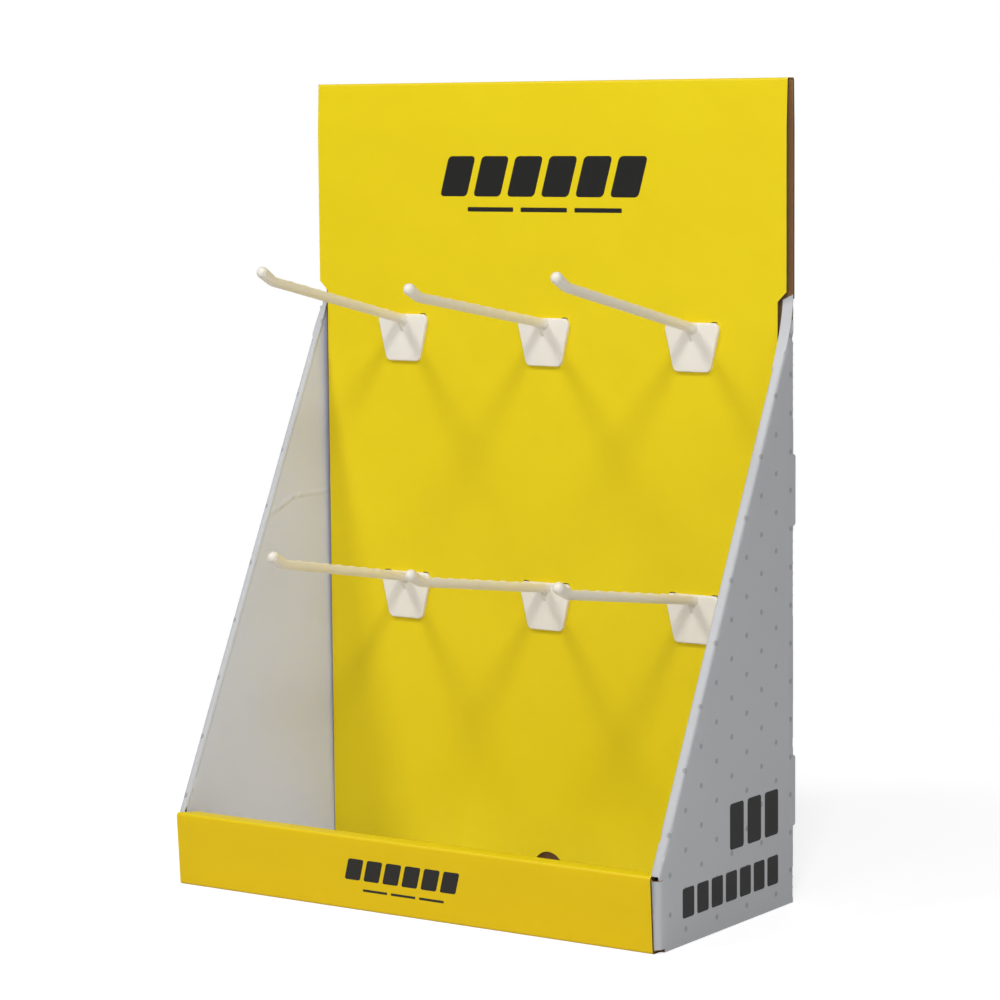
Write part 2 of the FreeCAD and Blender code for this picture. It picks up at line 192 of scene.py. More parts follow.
@dataclass(frozen=True)
class Finish:
    """What every finish shares: a name, and a Principled shader with even gloss values."""

    name: str
    roughness: float
    ior: float = 1.5
    specular: float = 0.5

    def start(self) -> tuple[bpy.types.Material, bpy.types.NodeTree, bpy.types.Node]:
        """Makes a plain material.

        Returns:
            The material, its node tree and its shader.
        """
        material = bpy.data.materials.new(self.name)
        material.use_nodes = True
        tree = material.node_tree
        shader = tree.nodes["Principled BSDF"]
        shader.inputs["Roughness"].default_value = self.roughness
        shader.inputs["IOR"].default_value = self.ior
        shader.inputs["Specular IOR Level"].default_value = self.specular
        return material, tree, shader

    def dress(
        self,
        tree: bpy.types.NodeTree,
        shader: bpy.types.Node,
        colours: tuple[object, str, str],
        relief: tuple[object, float, float],
    ) -> None:
        """Gives the shader its colour and its relief.

        Args:
            tree: the node tree.
            shader: the material's shader.
            colours: a share, the hex colour where it is 0 and the one where it is 1.
            relief: a height from 0 to 1, its strength and its full height in millimetres.
        """
        share, low, high = colours
        height, strength, full = relief
        ends = {"A_Color": srgb(low), "B_Color": srgb(high)}
        colour = add_node(tree, "Mix", Factor_Float=share, data_type="RGBA", out=2, **ends)
        bump = add_node(tree, "Bump", Strength=strength, Distance=full * MM, Height=height)
        tree.links.new(colour, shader.inputs["Base Color"])
        tree.links.new(bump, shader.inputs["Normal"])

    def flat(self, tree: bpy.types.NodeTree) -> bpy.types.NodeSocket:
        """The piece's flat net coordinates in metres, as a vector."""
        return add_node(tree, "UVMap", uv_map="net")

    def noise(
        self, tree: bpy.types.NodeTree, where: bpy.types.NodeSocket, size_mm: float, detail: float = 3.0
    ) -> bpy.types.NodeSocket:
        """Noise from 0 to 1.

        Args:
            tree: the node tree.
            where: the coordinates, in metres.
            size_mm: about how large its features are.
            detail: how many finer layers it has.

        Returns:
            The value socket.
        """
        return add_node(tree, "TexNoise", Vector=where, Scale=1.0 / (size_mm * MM), Detail=detail)

    def phase(self, tree: bpy.types.NodeTree, where: bpy.types.NodeSocket, pitch: float) -> bpy.types.NodeSocket:
        """Angle that makes one turn for each pitch in millimetres of the first coordinate."""
        first = add_node(tree, "SeparateXYZ", where)
        return add_node(tree, "Math", first, 2 * math.pi / (pitch * MM), operation="MULTIPLY")


@dataclass(frozen=True)
class PrintedLiner(Finish):
    """Litho-printed, lightly varnished paper liner on fine corrugated board.

    The thin varnish gives a broad soft sheen, the paper a faint fibre grain, and the flutes
    under it telegraph as very shallow upright lines. Heights are in metres.
    """

    specular: float = 0.22
    colour: str = "F0DC1E"
    mottle: str = "EAD41A"
    cloud_size: float = 60.0
    dots: str | None = None
    dot_radius: float = 1.5
    dot_edge: float = 0.25
    dot_column: float = 15.9
    dot_row: float = 21.0
    dot_origin: tuple[float, float] = (0.0, 0.0)
    flute_pitch: float = 3.2
    flute_depth: float = 0.008
    fibre_size: float = 0.8
    fibre_height: float = 0.03
    wave_size: float = 35.0
    wave_height: float = 0.9
    wrinkle: tuple[tuple[float, float], ...] = ()
    wrinkle_width: float = 2.6
    wrinkle_height: float = 0.32

    def make(self) -> bpy.types.Material:
        """Makes the material.

        Returns:
            The finished material.
        """
        material, tree, shader = self.start()
        where = self.flat(tree)
        cloud = self.noise(tree, where, self.cloud_size)
        layers = [(cloud, srgb(self.mottle))]
        if self.dots:
            layers.append((self.dot_mask(tree, where), srgb(self.dots)))
        colour: object = srgb(self.colour)
        for share, over in layers:
            colour = add_node(tree, "Mix", Factor_Float=share, A_Color=colour, B_Color=over, data_type="RGBA", out=2)
        tree.links.new(colour, shader.inputs["Base Color"])
        tree.links.new(self.relief(tree, where), shader.inputs["Normal"])
        return material

    def relief(self, tree: bpy.types.NodeTree, where: bpy.types.NodeSocket) -> bpy.types.NodeSocket:
        """The paper's fibres, its slow waves, the flutes' faint lines and the wrinkle.

        The flutes' lines are a cosine of the first flat coordinate.

        Args:
            tree: the node tree.
            where: the flat coordinates.

        Returns:
            The normal.
        """
        flutes = add_node(tree, "Math", self.phase(tree, where, self.flute_pitch), operation="COSINE")
        fibres = self.noise(tree, where, self.fibre_size, 4.0)
        waves = self.noise(tree, where, self.wave_size, 1.0)
        height = add_node(tree, "Math", flutes, self.flute_depth * MM, operation="MULTIPLY")
        height = add_node(tree, "Math", fibres, self.fibre_height * MM, height, operation="MULTIPLY_ADD")
        height = add_node(tree, "Math", waves, self.wave_height * MM, height, operation="MULTIPLY_ADD")
        for start, end in zip(self.wrinkle, self.wrinkle[1:]):
            height = add_node(tree, "Math", height, self.ridge(tree, where, start, end), operation="ADD")
        return add_node(tree, "Bump", Strength=1.0, Distance=1.0, Height=height)

    def ridge(
        self,
        tree: bpy.types.NodeTree,
        where: bpy.types.NodeSocket,
        start: tuple[float, float],
        end: tuple[float, float],
    ) -> bpy.types.NodeSocket:
        """Height of a pressed wrinkle along one straight run.

        It falls off smoothly with the distance to the run, which is the length of what is
        left of the offset after its share along the run is taken away.

        Args:
            tree: the node tree.
            where: the flat coordinates.
            start: where the run begins, in millimetres.
            end: where it ends.

        Returns:
            The height in metres.
        """
        a, b = Vector((*start, 0.0)) * MM, Vector((*end, 0.0)) * MM
        way = (b - a) / (b - a).length_squared
        off = add_node(tree, "VectorMath", where, tuple(a), operation="SUBTRACT")
        share = add_node(tree, "VectorMath", off, tuple(way), operation="DOT_PRODUCT", out="Value")
        share = add_node(tree, "Clamp", share)
        along = add_node(tree, "VectorMath", tuple(b - a), Scale=share, operation="SCALE")
        left = add_node(tree, "VectorMath", off, along, operation="DISTANCE", out="Value")
        ends = {"From_Max": self.wrinkle_width * MM, "To_Min": self.wrinkle_height * MM, "To_Max": 0.0}
        return add_node(tree, "MapRange", left, interpolation_type="SMOOTHERSTEP", **ends)

    def dot_mask(self, tree: bpy.types.NodeTree, where: bpy.types.NodeSocket) -> bpy.types.NodeSocket:
        """Finds the printed dots.

        The dots stand in columns, each next one half a row lower. Two plain lattices, the
        second moved by one column and half a row, give both kinds of column. In each, the
        distance to the nearest lattice point is compared with the dot's radius.

        Args:
            tree: the node tree.
            where: the flat coordinates.

        Returns:
            1 inside the dots and 0 outside.
        """
        masks = []
        step = Vector((2 * self.dot_column, self.dot_row, 1.0)) * MM
        low, high = ((self.dot_radius + side * self.dot_edge) * MM for side in (-1, 1))
        ends = {"From_Min": low, "From_Max": high, "To_Min": 1.0, "To_Max": 0.0}
        for shift in (0.0, 0.5):
            start = [self.dot_origin[i] * MM + shift * step[i] for i in (0, 1)]
            moved = add_node(tree, "VectorMath", where, (*start, 0.0), operation="SUBTRACT")
            snapped = add_node(tree, "VectorMath", moved, tuple(step / 2), tuple(-step / 2), operation="WRAP")
            gap = add_node(tree, "VectorMath", snapped, operation="LENGTH", out="Value")
            masks.append(add_node(tree, "MapRange", gap, interpolation_type="SMOOTHSTEP", **ends))
        return add_node(tree, "Math", *masks, operation="MAXIMUM")


@dataclass(frozen=True)
class KraftLiner(Finish):
    """Bare brown kraft liner, the board's reverse face: matt, with dark and pale fibres."""

    specular: float = 0.25
    colour: str = "96724A"
    fibre: str = "785838"
    fibre_size: float = 0.7
    cloud_size: float = 25.0
    fibre_share: float = 0.7

    def make(self) -> bpy.types.Material:
        """Makes the material.

        Returns:
            The finished material.
        """
        material, tree, shader = self.start()
        where = self.flat(tree)
        stretched = add_node(tree, "Mapping", where, Scale=(1.0, 0.25, 1.0))
        fibres = self.noise(tree, stretched, self.fibre_size, 6.0)
        cloud = self.noise(tree, where, self.cloud_size)
        rest = add_node(tree, "Math", cloud, 1.0 - self.fibre_share, operation="MULTIPLY")
        blend = add_node(tree, "Math", fibres, self.fibre_share, rest, operation="MULTIPLY_ADD")
        self.dress(tree, shader, (blend, self.fibre, self.colour), (fibres, 0.6, 0.06))
        return material


@dataclass(frozen=True)
class CutFlutes(Finish):
    """A die-cut edge of fine corrugated board.

    It shows the two thin liners as pale lines and the wavy fluting between them, with painted
    shade in the hollows. The wave is a sine of the place along the edge, at the flutes' pitch.
    """

    specular: float = 0.2
    liner: str = "9A774E"
    # painted shade: the dark colour put in the flutes' hollows
    hollow_shade: str = "3A2818"
    flute_pitch: float = 3.2
    liner_share: float = 0.2
    flute_half: float = 0.16
    fibre_size: float = 0.6

    def make(self) -> bpy.types.Material:
        """Makes the material.

        Returns:
            The finished material.
        """
        material, tree, shader = self.start()
        where = self.flat(tree)
        depth = add_node(tree, "Attribute", attribute_name="depth", out="Fac")
        wave = add_node(tree, "Math", self.phase(tree, where, self.flute_pitch), operation="SINE")
        centre = add_node(tree, "Math", wave, 0.5 - self.liner_share, 0.5, operation="MULTIPLY_ADD")
        off_wave = add_node(tree, "Math", depth, centre, operation="SUBTRACT")
        off_wave = add_node(tree, "Math", off_wave, operation="ABSOLUTE")
        off_middle = add_node(tree, "Math", depth, 0.5, operation="SUBTRACT")
        off_middle = add_node(tree, "Math", off_middle, operation="ABSOLUTE")
        on_wave = add_node(tree, "Math", off_wave, self.flute_half, operation="LESS_THAN")
        on_liner = add_node(tree, "Math", off_middle, 0.5 - self.liner_share, operation="GREATER_THAN")
        paper = add_node(tree, "Math", on_wave, on_liner, operation="MAXIMUM")
        fibres = self.noise(tree, where, self.fibre_size, 5.0)
        pale = add_node(tree, "Math", fibres, 0.5, 0.6, operation="MULTIPLY_ADD")
        shade = add_node(tree, "Math", pale, paper, operation="MULTIPLY", use_clamp=True)
        self.dress(tree, shader, (shade, self.hollow_shade, self.liner), (shade, 0.8, 0.15))
        return material


@dataclass(frozen=True)
class PrintingInk(Finish):
    """Black offset ink on the liner, slightly glossier than the paper round it."""

    colour: str = "151515"
    thin: str = "1E1D1C"
    grain_size: float = 1.5

    def make(self) -> bpy.types.Material:
        """Makes the material.

        Returns:
            The finished material.
        """
        material, tree, shader = self.start()
        grain = self.noise(tree, self.flat(tree), self.grain_size, 4.0)
        self.dress(tree, shader, (grain, self.colour, self.thin), (grain, 0.5, 0.03))
        return material


@dataclass(frozen=True)
class MouldedPlastic(Finish):
    """Injection-moulded ivory polypropylene: soft gloss, faint flow marks, a little light inside."""

    colour: str = "F3EEE4"
    flow: str = "EFE8DB"
    flow_size: float = 14.0
    skin_size: float = 1.2
    light_inside: float = 0.15
    light_reach: tuple[float, float, float] = (2.0 * MM, 1.6 * MM, 1.2 * MM)

    def make(self) -> bpy.types.Material:
        """Makes the material.

        Returns:
            The finished material.
        """
        material, tree, shader = self.start()
        where = add_node(tree, "TexCoord", out="Object")
        flow = self.noise(tree, where, self.flow_size)
        skin = self.noise(tree, where, self.skin_size)
        self.dress(tree, shader, (flow, self.colour, self.flow), (skin, 0.35, 0.05))
        shader.inputs["Subsurface Weight"].default_value = self.light_inside
        shader.inputs["Subsurface Radius"].default_value = self.light_reach
        shader.inputs["Subsurface Scale"].default_value = 1.0
        return material


class BoardFace(Enum):
    """What a face of the board shows; the value is its material slot."""

    YELLOW = 0
    LIP = 1
    DOTTED = 2
    # painted light: a white paper made brighter and bluer than the sides' dotted paper
    PLAIN = 3
    INK = 4
    KRAFT = 5
    CUT = 6


# Flat paths and nets


class RoundedPath:
    """A flat path of straight runs and rounded bends, known by the distance along it.

    Each bend is an arc that touches both runs. A place at distance s and depth d is the
    path's point at s moved d to one side, so the reverse of the board is the same path
    with smaller bends.
    """

    def __init__(self, points: Sequence[Point], radii: Sequence[float], reverse: int, steps: int = 9) -> None:
        """Works out the samples.

        Args:
            points: the corners, in millimetres.
            radii: one for each inner corner.
            reverse: 1 if the board's reverse lies left of the path, -1 if right.
            steps: how many samples each bend gets.
        """
        corners = np.array(points, float)
        ways = np.diff(corners, axis=0)
        headings = np.unwrap(np.arctan2(ways[:, 1], ways[:, 0]))
        places, angles, bends = [corners[0]], [headings[0]], []
        for corner, radius, before, after in zip(corners[1:-1], radii, headings[:-1], headings[1:]):
            turn = after - before
            run = radius * abs(math.tan(turn / 2))
            start = corner - run * np.array([math.cos(before), math.sin(before)])
            side = math.copysign(1.0, turn)
            centre = start + side * radius * np.array([-math.sin(before), math.cos(before)])
            sweep = np.linspace(before, after, steps)
            arc = centre - side * radius * np.stack([-np.sin(sweep), np.cos(sweep)], 1)
            bends.append((len(places), len(places) + steps))
            places += list(arc)
            angles += list(sweep)
        places.append(corners[-1])
        angles.append(headings[-1])
        self.places = np.array(places)
        self.angles = np.array(angles)
        self.distance = np.concatenate([[0.0], np.cumsum(np.linalg.norm(np.diff(self.places, axis=0), axis=1))])
        self.bend_levels = np.concatenate([self.distance[a:b] for a, b in bends])
        self.reverse = reverse

    def at(self, s: np.ndarray, depth: np.ndarray) -> tuple[np.ndarray, np.ndarray]:
        """Places on the path, which goes on past its ends in a straight line.

        Args:
            s: distances along the path.
            depth: distances to the reverse's side.

        Returns:
            Both coordinates.
        """
        angle = np.interp(s, self.distance, self.angles)
        first = np.interp(s, self.distance, self.places[:, 0])
        second = np.interp(s, self.distance, self.places[:, 1])
        over = np.maximum(s - self.distance[-1], 0) + np.minimum(s, 0)
        first = first + over * np.cos(angle) - self.reverse * depth * np.sin(angle)
        second = second + over * np.sin(angle) + self.reverse * depth * np.cos(angle)
        return first, second

    def near(self, first: float, second: float) -> float:
        """Finds the point of the path nearest to a place.

        Args:
            first: the place's first coordinate.
            second: its second.

        Returns:
            The distance along the path.
        """
        start, way = self.places[:-1], np.diff(self.places, axis=0)
        share = ((np.array([first, second]) - start) * way).sum(1) / np.maximum((way**2).sum(1), TINY)
        share = np.clip(share, 0, 1)
        gap = np.linalg.norm(start + way * share[:, None] - (first, second), axis=1)
        best = int(np.argmin(gap))
        return float(self.distance[best] + share[best] * np.linalg.norm(way[best]))


def arc_points(centre: tuple[float, float], radius: float, start: float, end: float, count: int) -> list[Point]:
    """Points of an arc.

    Args:
        centre: the arc's centre.
        radius: its radius.
        start: the angle of its first point in degrees.
        end: the angle of its last.
        count: how many points it gets.

    Returns:
        The points.
    """
    angles = np.radians(np.linspace(start, end, count))
    x, y = centre[0] + radius * np.cos(angles), centre[1] + radius * np.sin(angles)
    return list(zip(x.tolist(), y.tolist()))


def rounded_box(centre: tuple[float, float], half: tuple[float, float], radius: float, count: int = 5) -> list[Point]:
    """A closed loop round a box with rounded corners.

    Args:
        centre: the box's middle.
        half: half its size each way.
        radius: of its corners.
        count: how many points a corner gets.

    Returns:
        The points.
    """
    loop: list[Point] = []
    for sx, sy, angle in ((1, 1, 0), (-1, 1, 90), (-1, -1, 180), (1, -1, 270)):
        corner = (centre[0] + sx * (half[0] - radius), centre[1] + sy * (half[1] - radius))
        loop += arc_points(corner, radius, angle, angle + 90, count)
    return loop


def inside(points: np.ndarray, loop: np.ndarray) -> np.ndarray:
    """Whether points lie inside a closed loop, by counting the edges that a ray crosses.

    Args:
        points: one row for each point.
        loop: the loop's corners.

    Returns:
        True or False for each point.
    """
    ends = np.roll(loop, -1, axis=0)
    x, y = points[:, 0, None], points[:, 1, None]
    spans = (loop[:, 1] > y) != (ends[:, 1] > y)
    rise = np.where(ends[:, 1] == loop[:, 1], 1.0, ends[:, 1] - loop[:, 1])
    cross = loop[:, 0] + (y - loop[:, 1]) / rise * (ends[:, 0] - loop[:, 0])
    return (spans & (x < cross)).sum(1) % 2 == 1


def edge_gap_of(points: np.ndarray, loops: Sequence[np.ndarray]) -> np.ndarray:
    """Distance from each point to the nearest edge of any loop.

    Args:
        points: one row for each point.
        loops: the corners of each loop.

    Returns:
        The distances.
    """
    best = np.full(len(points), np.inf)
    for loop in loops:
        way = np.roll(loop, -1, axis=0) - loop
        length = np.maximum((way**2).sum(1), TINY)
        off = points[:, None, :] - loop[None]
        share = np.clip((off * way).sum(2) / length, 0, 1)
        gap = np.linalg.norm(off - way * share[..., None], axis=2).min(1)
        best = np.minimum(best, gap)
    return best


def split_loop(
    loop: Sequence[Point], levels: Sequence[tuple[float, float, float]], longest: float
) -> np.ndarray:
    """A closed loop with extra points where it crosses levels, and on its long edges.

    Args:
        loop: the corners.
        levels: lines a, b, c on which a times the first coordinate plus b times the second is c.
        longest: the greatest distance between two points.

    Returns:
        The points.
    """
    corners = np.array(loop, float)
    lines = np.array(levels, float).reshape(-1, 3)
    result = []
    for start, end in zip(corners, np.roll(corners, -1, axis=0)):
        height = lines[:, :2] @ start - lines[:, 2]
        other = lines[:, :2] @ end - lines[:, 2]
        crossing = height * other < 0
        shares = height[crossing] / (height[crossing] - other[crossing])
        count = max(1, math.ceil(np.linalg.norm(end - start) / longest))
        even = np.arange(1, count) / count
        if len(shares):  # no even point stands close to a crossing
            even = even[np.abs(even[:, None] - shares).min(1) > 0.3 / count]
        shares = np.unique(np.round(np.concatenate([[0.0], shares, even]), 7))
        kept = shares[np.concatenate([[True], np.diff(shares) > 1e-5])]
        result.append(start + (end - start) * kept[:, None])
    return np.concatenate(result)


@dataclass
class FlatNet:
    """A piece of board cut from the flat: an outline, openings, printed shapes and bends."""

    outline: list[Point]
    openings: list[list[Point]]
    printed: list[list[Point]]
    levels: list[tuple[float, float, float]]
    spacing: float = 6.0
    guide_margin: float = 0.12

    def guide_points(self, low: np.ndarray, high: np.ndarray) -> np.ndarray:
        """Evenly spaced points along every level line.

        Args:
            low: the low corner of the net's box.
            high: its high corner.

        Returns:
            The points, of which some lie outside the box.
        """
        middle, reach = (low + high) / 2, float(np.linalg.norm(high - low)) / 2
        lines = np.array(self.levels, float).reshape(-1, 3)
        normal = lines[:, :2] / np.linalg.norm(lines[:, :2], axis=1, keepdims=True)
        offset = lines[:, 2] / np.linalg.norm(lines[:, :2], axis=1)
        foot = middle + (offset - normal @ middle)[:, None] * normal
        along = np.stack([-normal[:, 1], normal[:, 0]], 1)
        steps = np.arange(-reach, reach, self.spacing)
        return (foot[:, None, :] + along[:, None, :] * steps[None, :, None]).reshape(-1, 2)

    def on_board(self, points: np.ndarray, loops: Sequence[np.ndarray]) -> np.ndarray:
        """Whether points lie on the board.

        Args:
            points: one row for each point.
            loops: the outline and then the openings.

        Returns:
            True where a point is inside the outline and in no opening.
        """
        keep = inside(points, loops[0])
        for hole in loops[1:]:
            keep &= ~inside(points, hole)
        return keep

    def triangles(self) -> tuple[np.ndarray, np.ndarray, np.ndarray]:
        """Triangulates the net.

        Returns:
            The flat points, the triangles, and for each triangle whether it is printed.
        """
        loops = [split_loop(loop, self.levels, self.spacing) for loop in [self.outline, *self.openings]]
        marks = [np.array(loop, float) for loop in self.printed]
        low, high = loops[0].min(0), loops[0].max(0)
        grid = np.meshgrid(*(np.arange(low[i] + self.spacing / 2, high[i], self.spacing) for i in (0, 1)))
        fill = np.stack([axis.ravel() for axis in grid], 1)
        lines = np.array(self.levels, float)
        off = np.abs(fill @ lines[:, :2].T - lines[:, 2]) / np.linalg.norm(lines[:, :2], axis=1)
        fill = fill[off.min(1) > self.spacing * 0.35]
        parts = []
        for points, margin in ((self.guide_points(low, high), self.guide_margin), (fill, self.spacing * 0.3)):
            points = points[self.on_board(points, loops)]
            parts.append(points[edge_gap_of(points, loops + marks) > margin])
        fixed = np.concatenate([*loops, *marks])
        flat = np.concatenate([fixed, *parts])
        edges, start = [], 0
        for loop in [*loops, *marks]:
            index = np.arange(start, start + len(loop))
            edges.append(np.stack([index, np.roll(index, -1)], 1))
            start += len(loop)
        placed = [Vector(point) for point in flat.tolist()]
        points_out, _, faces, *_ = delaunay_2d_cdt(placed, np.concatenate(edges).tolist(), [], 0, 1e-5, False)
        flat, faces = np.array(points_out, float), np.array(faces)
        faces = faces[self.on_board(flat[faces].mean(1), loops)]
        middle = flat[faces].mean(1)
        inked = np.zeros(len(faces), bool)
        for mark in marks:
            inked |= inside(middle, mark)
        used, index = np.unique(faces, return_inverse=True)
        return flat[used], index.reshape(-1, 3), inked


def outward(points: np.ndarray, faces: np.ndarray) -> np.ndarray:
    """Turns the faces of a closed shell so that they point outwards.

    Six times the volume inside is the sum of each triangle's first corner times the cross
    product of the other two, and it is negative where the faces point inwards.

    Args:
        points: one row for each point.
        faces: triangles or four-cornered faces, all turned alike.

    Returns:
        The faces.
    """
    fan = [faces[:, [0, i, i + 1]] for i in range(1, faces.shape[1] - 1)]
    a, b, c = points[np.concatenate(fan)].transpose(1, 0, 2)
    return faces if (a * np.cross(b, c)).sum() >= 0 else faces[:, ::-1]


def make_mesh(name: str, points_mm: np.ndarray, faces: np.ndarray, smooth_degrees: float = 40.0) -> bpy.types.Object:
    """A mesh object from points in millimetres, smooth where its faces meet gently.

    Args:
        name: the piece's name.
        points_mm: one row for each point.
        faces: the corners of each face.
        smooth_degrees: the greatest angle that is shaded smooth.

    Returns:
        The object, linked to the scene.
    """
    mesh = bpy.data.meshes.new(name)
    mesh.from_pydata((points_mm * MM).tolist(), [], faces.tolist())
    mesh.shade_smooth()
    mesh.set_sharp_from_angle(angle=math.radians(smooth_degrees))
    piece = bpy.data.objects.new(name, mesh)
    bpy.context.scene.collection.objects.link(piece)
    return piece


def add_piece(piece: bpy.types.Object, node: str) -> bpy.types.Object:
    """Ties a piece to the part.

    Args:
        piece: the piece.
        node: the CAD node that it stands for.

    Returns:
        The piece.
    """
    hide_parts(node)
    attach(piece, BODY)
    return piece


def lay_net(piece: bpy.types.Object, faces: np.ndarray, place: np.ndarray) -> None:
    """Writes a piece's flat net coordinates, in metres, for the corners of its faces.

    Args:
        piece: the piece.
        faces: its faces.
        place: two coordinates in millimetres for each point.
    """
    layer = piece.data.uv_layers.new(name="net")
    layer.data.foreach_set("uv", (place * MM)[faces.ravel()].astype(np.float32).ravel())


class FoldedBoard(Protocol):
    """What a piece of folded board knows of itself.

    fold turns flat points and depths into places in space. face_of and reverse_of turn the
    flat middles of triangles into slot numbers, and print_place turns flat points into the
    coordinates of the print.
    """

    name: str
    fold: Callable[[np.ndarray, np.ndarray], np.ndarray]
    face_of: Callable[[np.ndarray], np.ndarray]
    reverse_of: Callable[[np.ndarray], np.ndarray]
    print_place: Callable[[np.ndarray], np.ndarray]


def fold_board(board: FoldedBoard, net: FlatNet, finishes: dict[BoardFace, bpy.types.Material]) -> bpy.types.Object:
    """Folds a net of board and closes it with cut edges.

    The printed face is the fold at depth 0 and the reverse the fold at the board's
    thickness. Each edge that only one triangle has becomes a wall between the two.

    Args:
        board: the folded piece.
        net: its flat net.
        finishes: one material for each kind of face.

    Returns:
        The piece.
    """
    flat, tris, inked = net.triangles()
    count = len(flat)
    points = np.concatenate([board.fold(flat, np.full(count, depth)) for depth in (0.0, SIZES.board)])
    rims = np.concatenate([tris[:, [0, 1]], tris[:, [1, 2]], tris[:, [2, 0]]])
    key = np.sort(rims, axis=1)
    _, first, number = np.unique(key, axis=0, return_index=True, return_counts=True)
    rim = rims[first[number == 1]]
    start, end = rim.T
    walls = np.concatenate([np.stack([end, start, start + count], 1), np.stack([end, start + count, end + count], 1)])
    faces = outward(points, np.concatenate([tris, tris[:, ::-1] + count, walls]))
    middle = flat[tris].mean(1)
    front = np.where(inked, BoardFace.INK.value, board.face_of(middle))
    slots = np.concatenate([front, board.reverse_of(middle), np.full(len(walls), BoardFace.CUT.value)])
    piece = make_mesh(board.name, points, faces)
    mesh = piece.data
    for kind in BoardFace:
        mesh.materials.append(finishes[kind])
    mesh.polygons.foreach_set("material_index", slots.astype(np.int32))
    lay_net(piece, faces, np.tile(board.print_place(flat), (2, 1)))
    depth = mesh.attributes.new("depth", "FLOAT", "POINT")
    depth.data.foreach_set("value", np.repeat([0.0, 1.0], count).astype(np.float32))
    return add_piece(piece, BOARD_NODE)


@dataclass(frozen=True)
class BlockRow:
    """A row of plain printed blocks with round corners."""

    centre: tuple[float, float]
    size: tuple[float, float]
    count: int
    gap: float
    radius: float
    slant: float = 0.0

    def loops(self, place: Callable[[float], float] = float) -> list[list[Point]]:
        """The blocks' outlines in the flat.

        Args:
            place: turns the height of the row's middle into the net's second coordinate.

        Returns:
            One closed loop for each block.
        """
        middle = place(self.centre[1])
        width = (self.size[0] - self.gap * (self.count - 1)) / self.count
        first = self.centre[0] - self.size[0] / 2 + width / 2
        half = (width / 2, self.size[1] / 2)
        steps = [first + i * (width + self.gap) for i in range(self.count)]
        boxes = [rounded_box((x, middle), half, self.radius) for x in steps]
        return [[(x + self.slant * (y - middle), y) for x, y in box] for box in boxes]


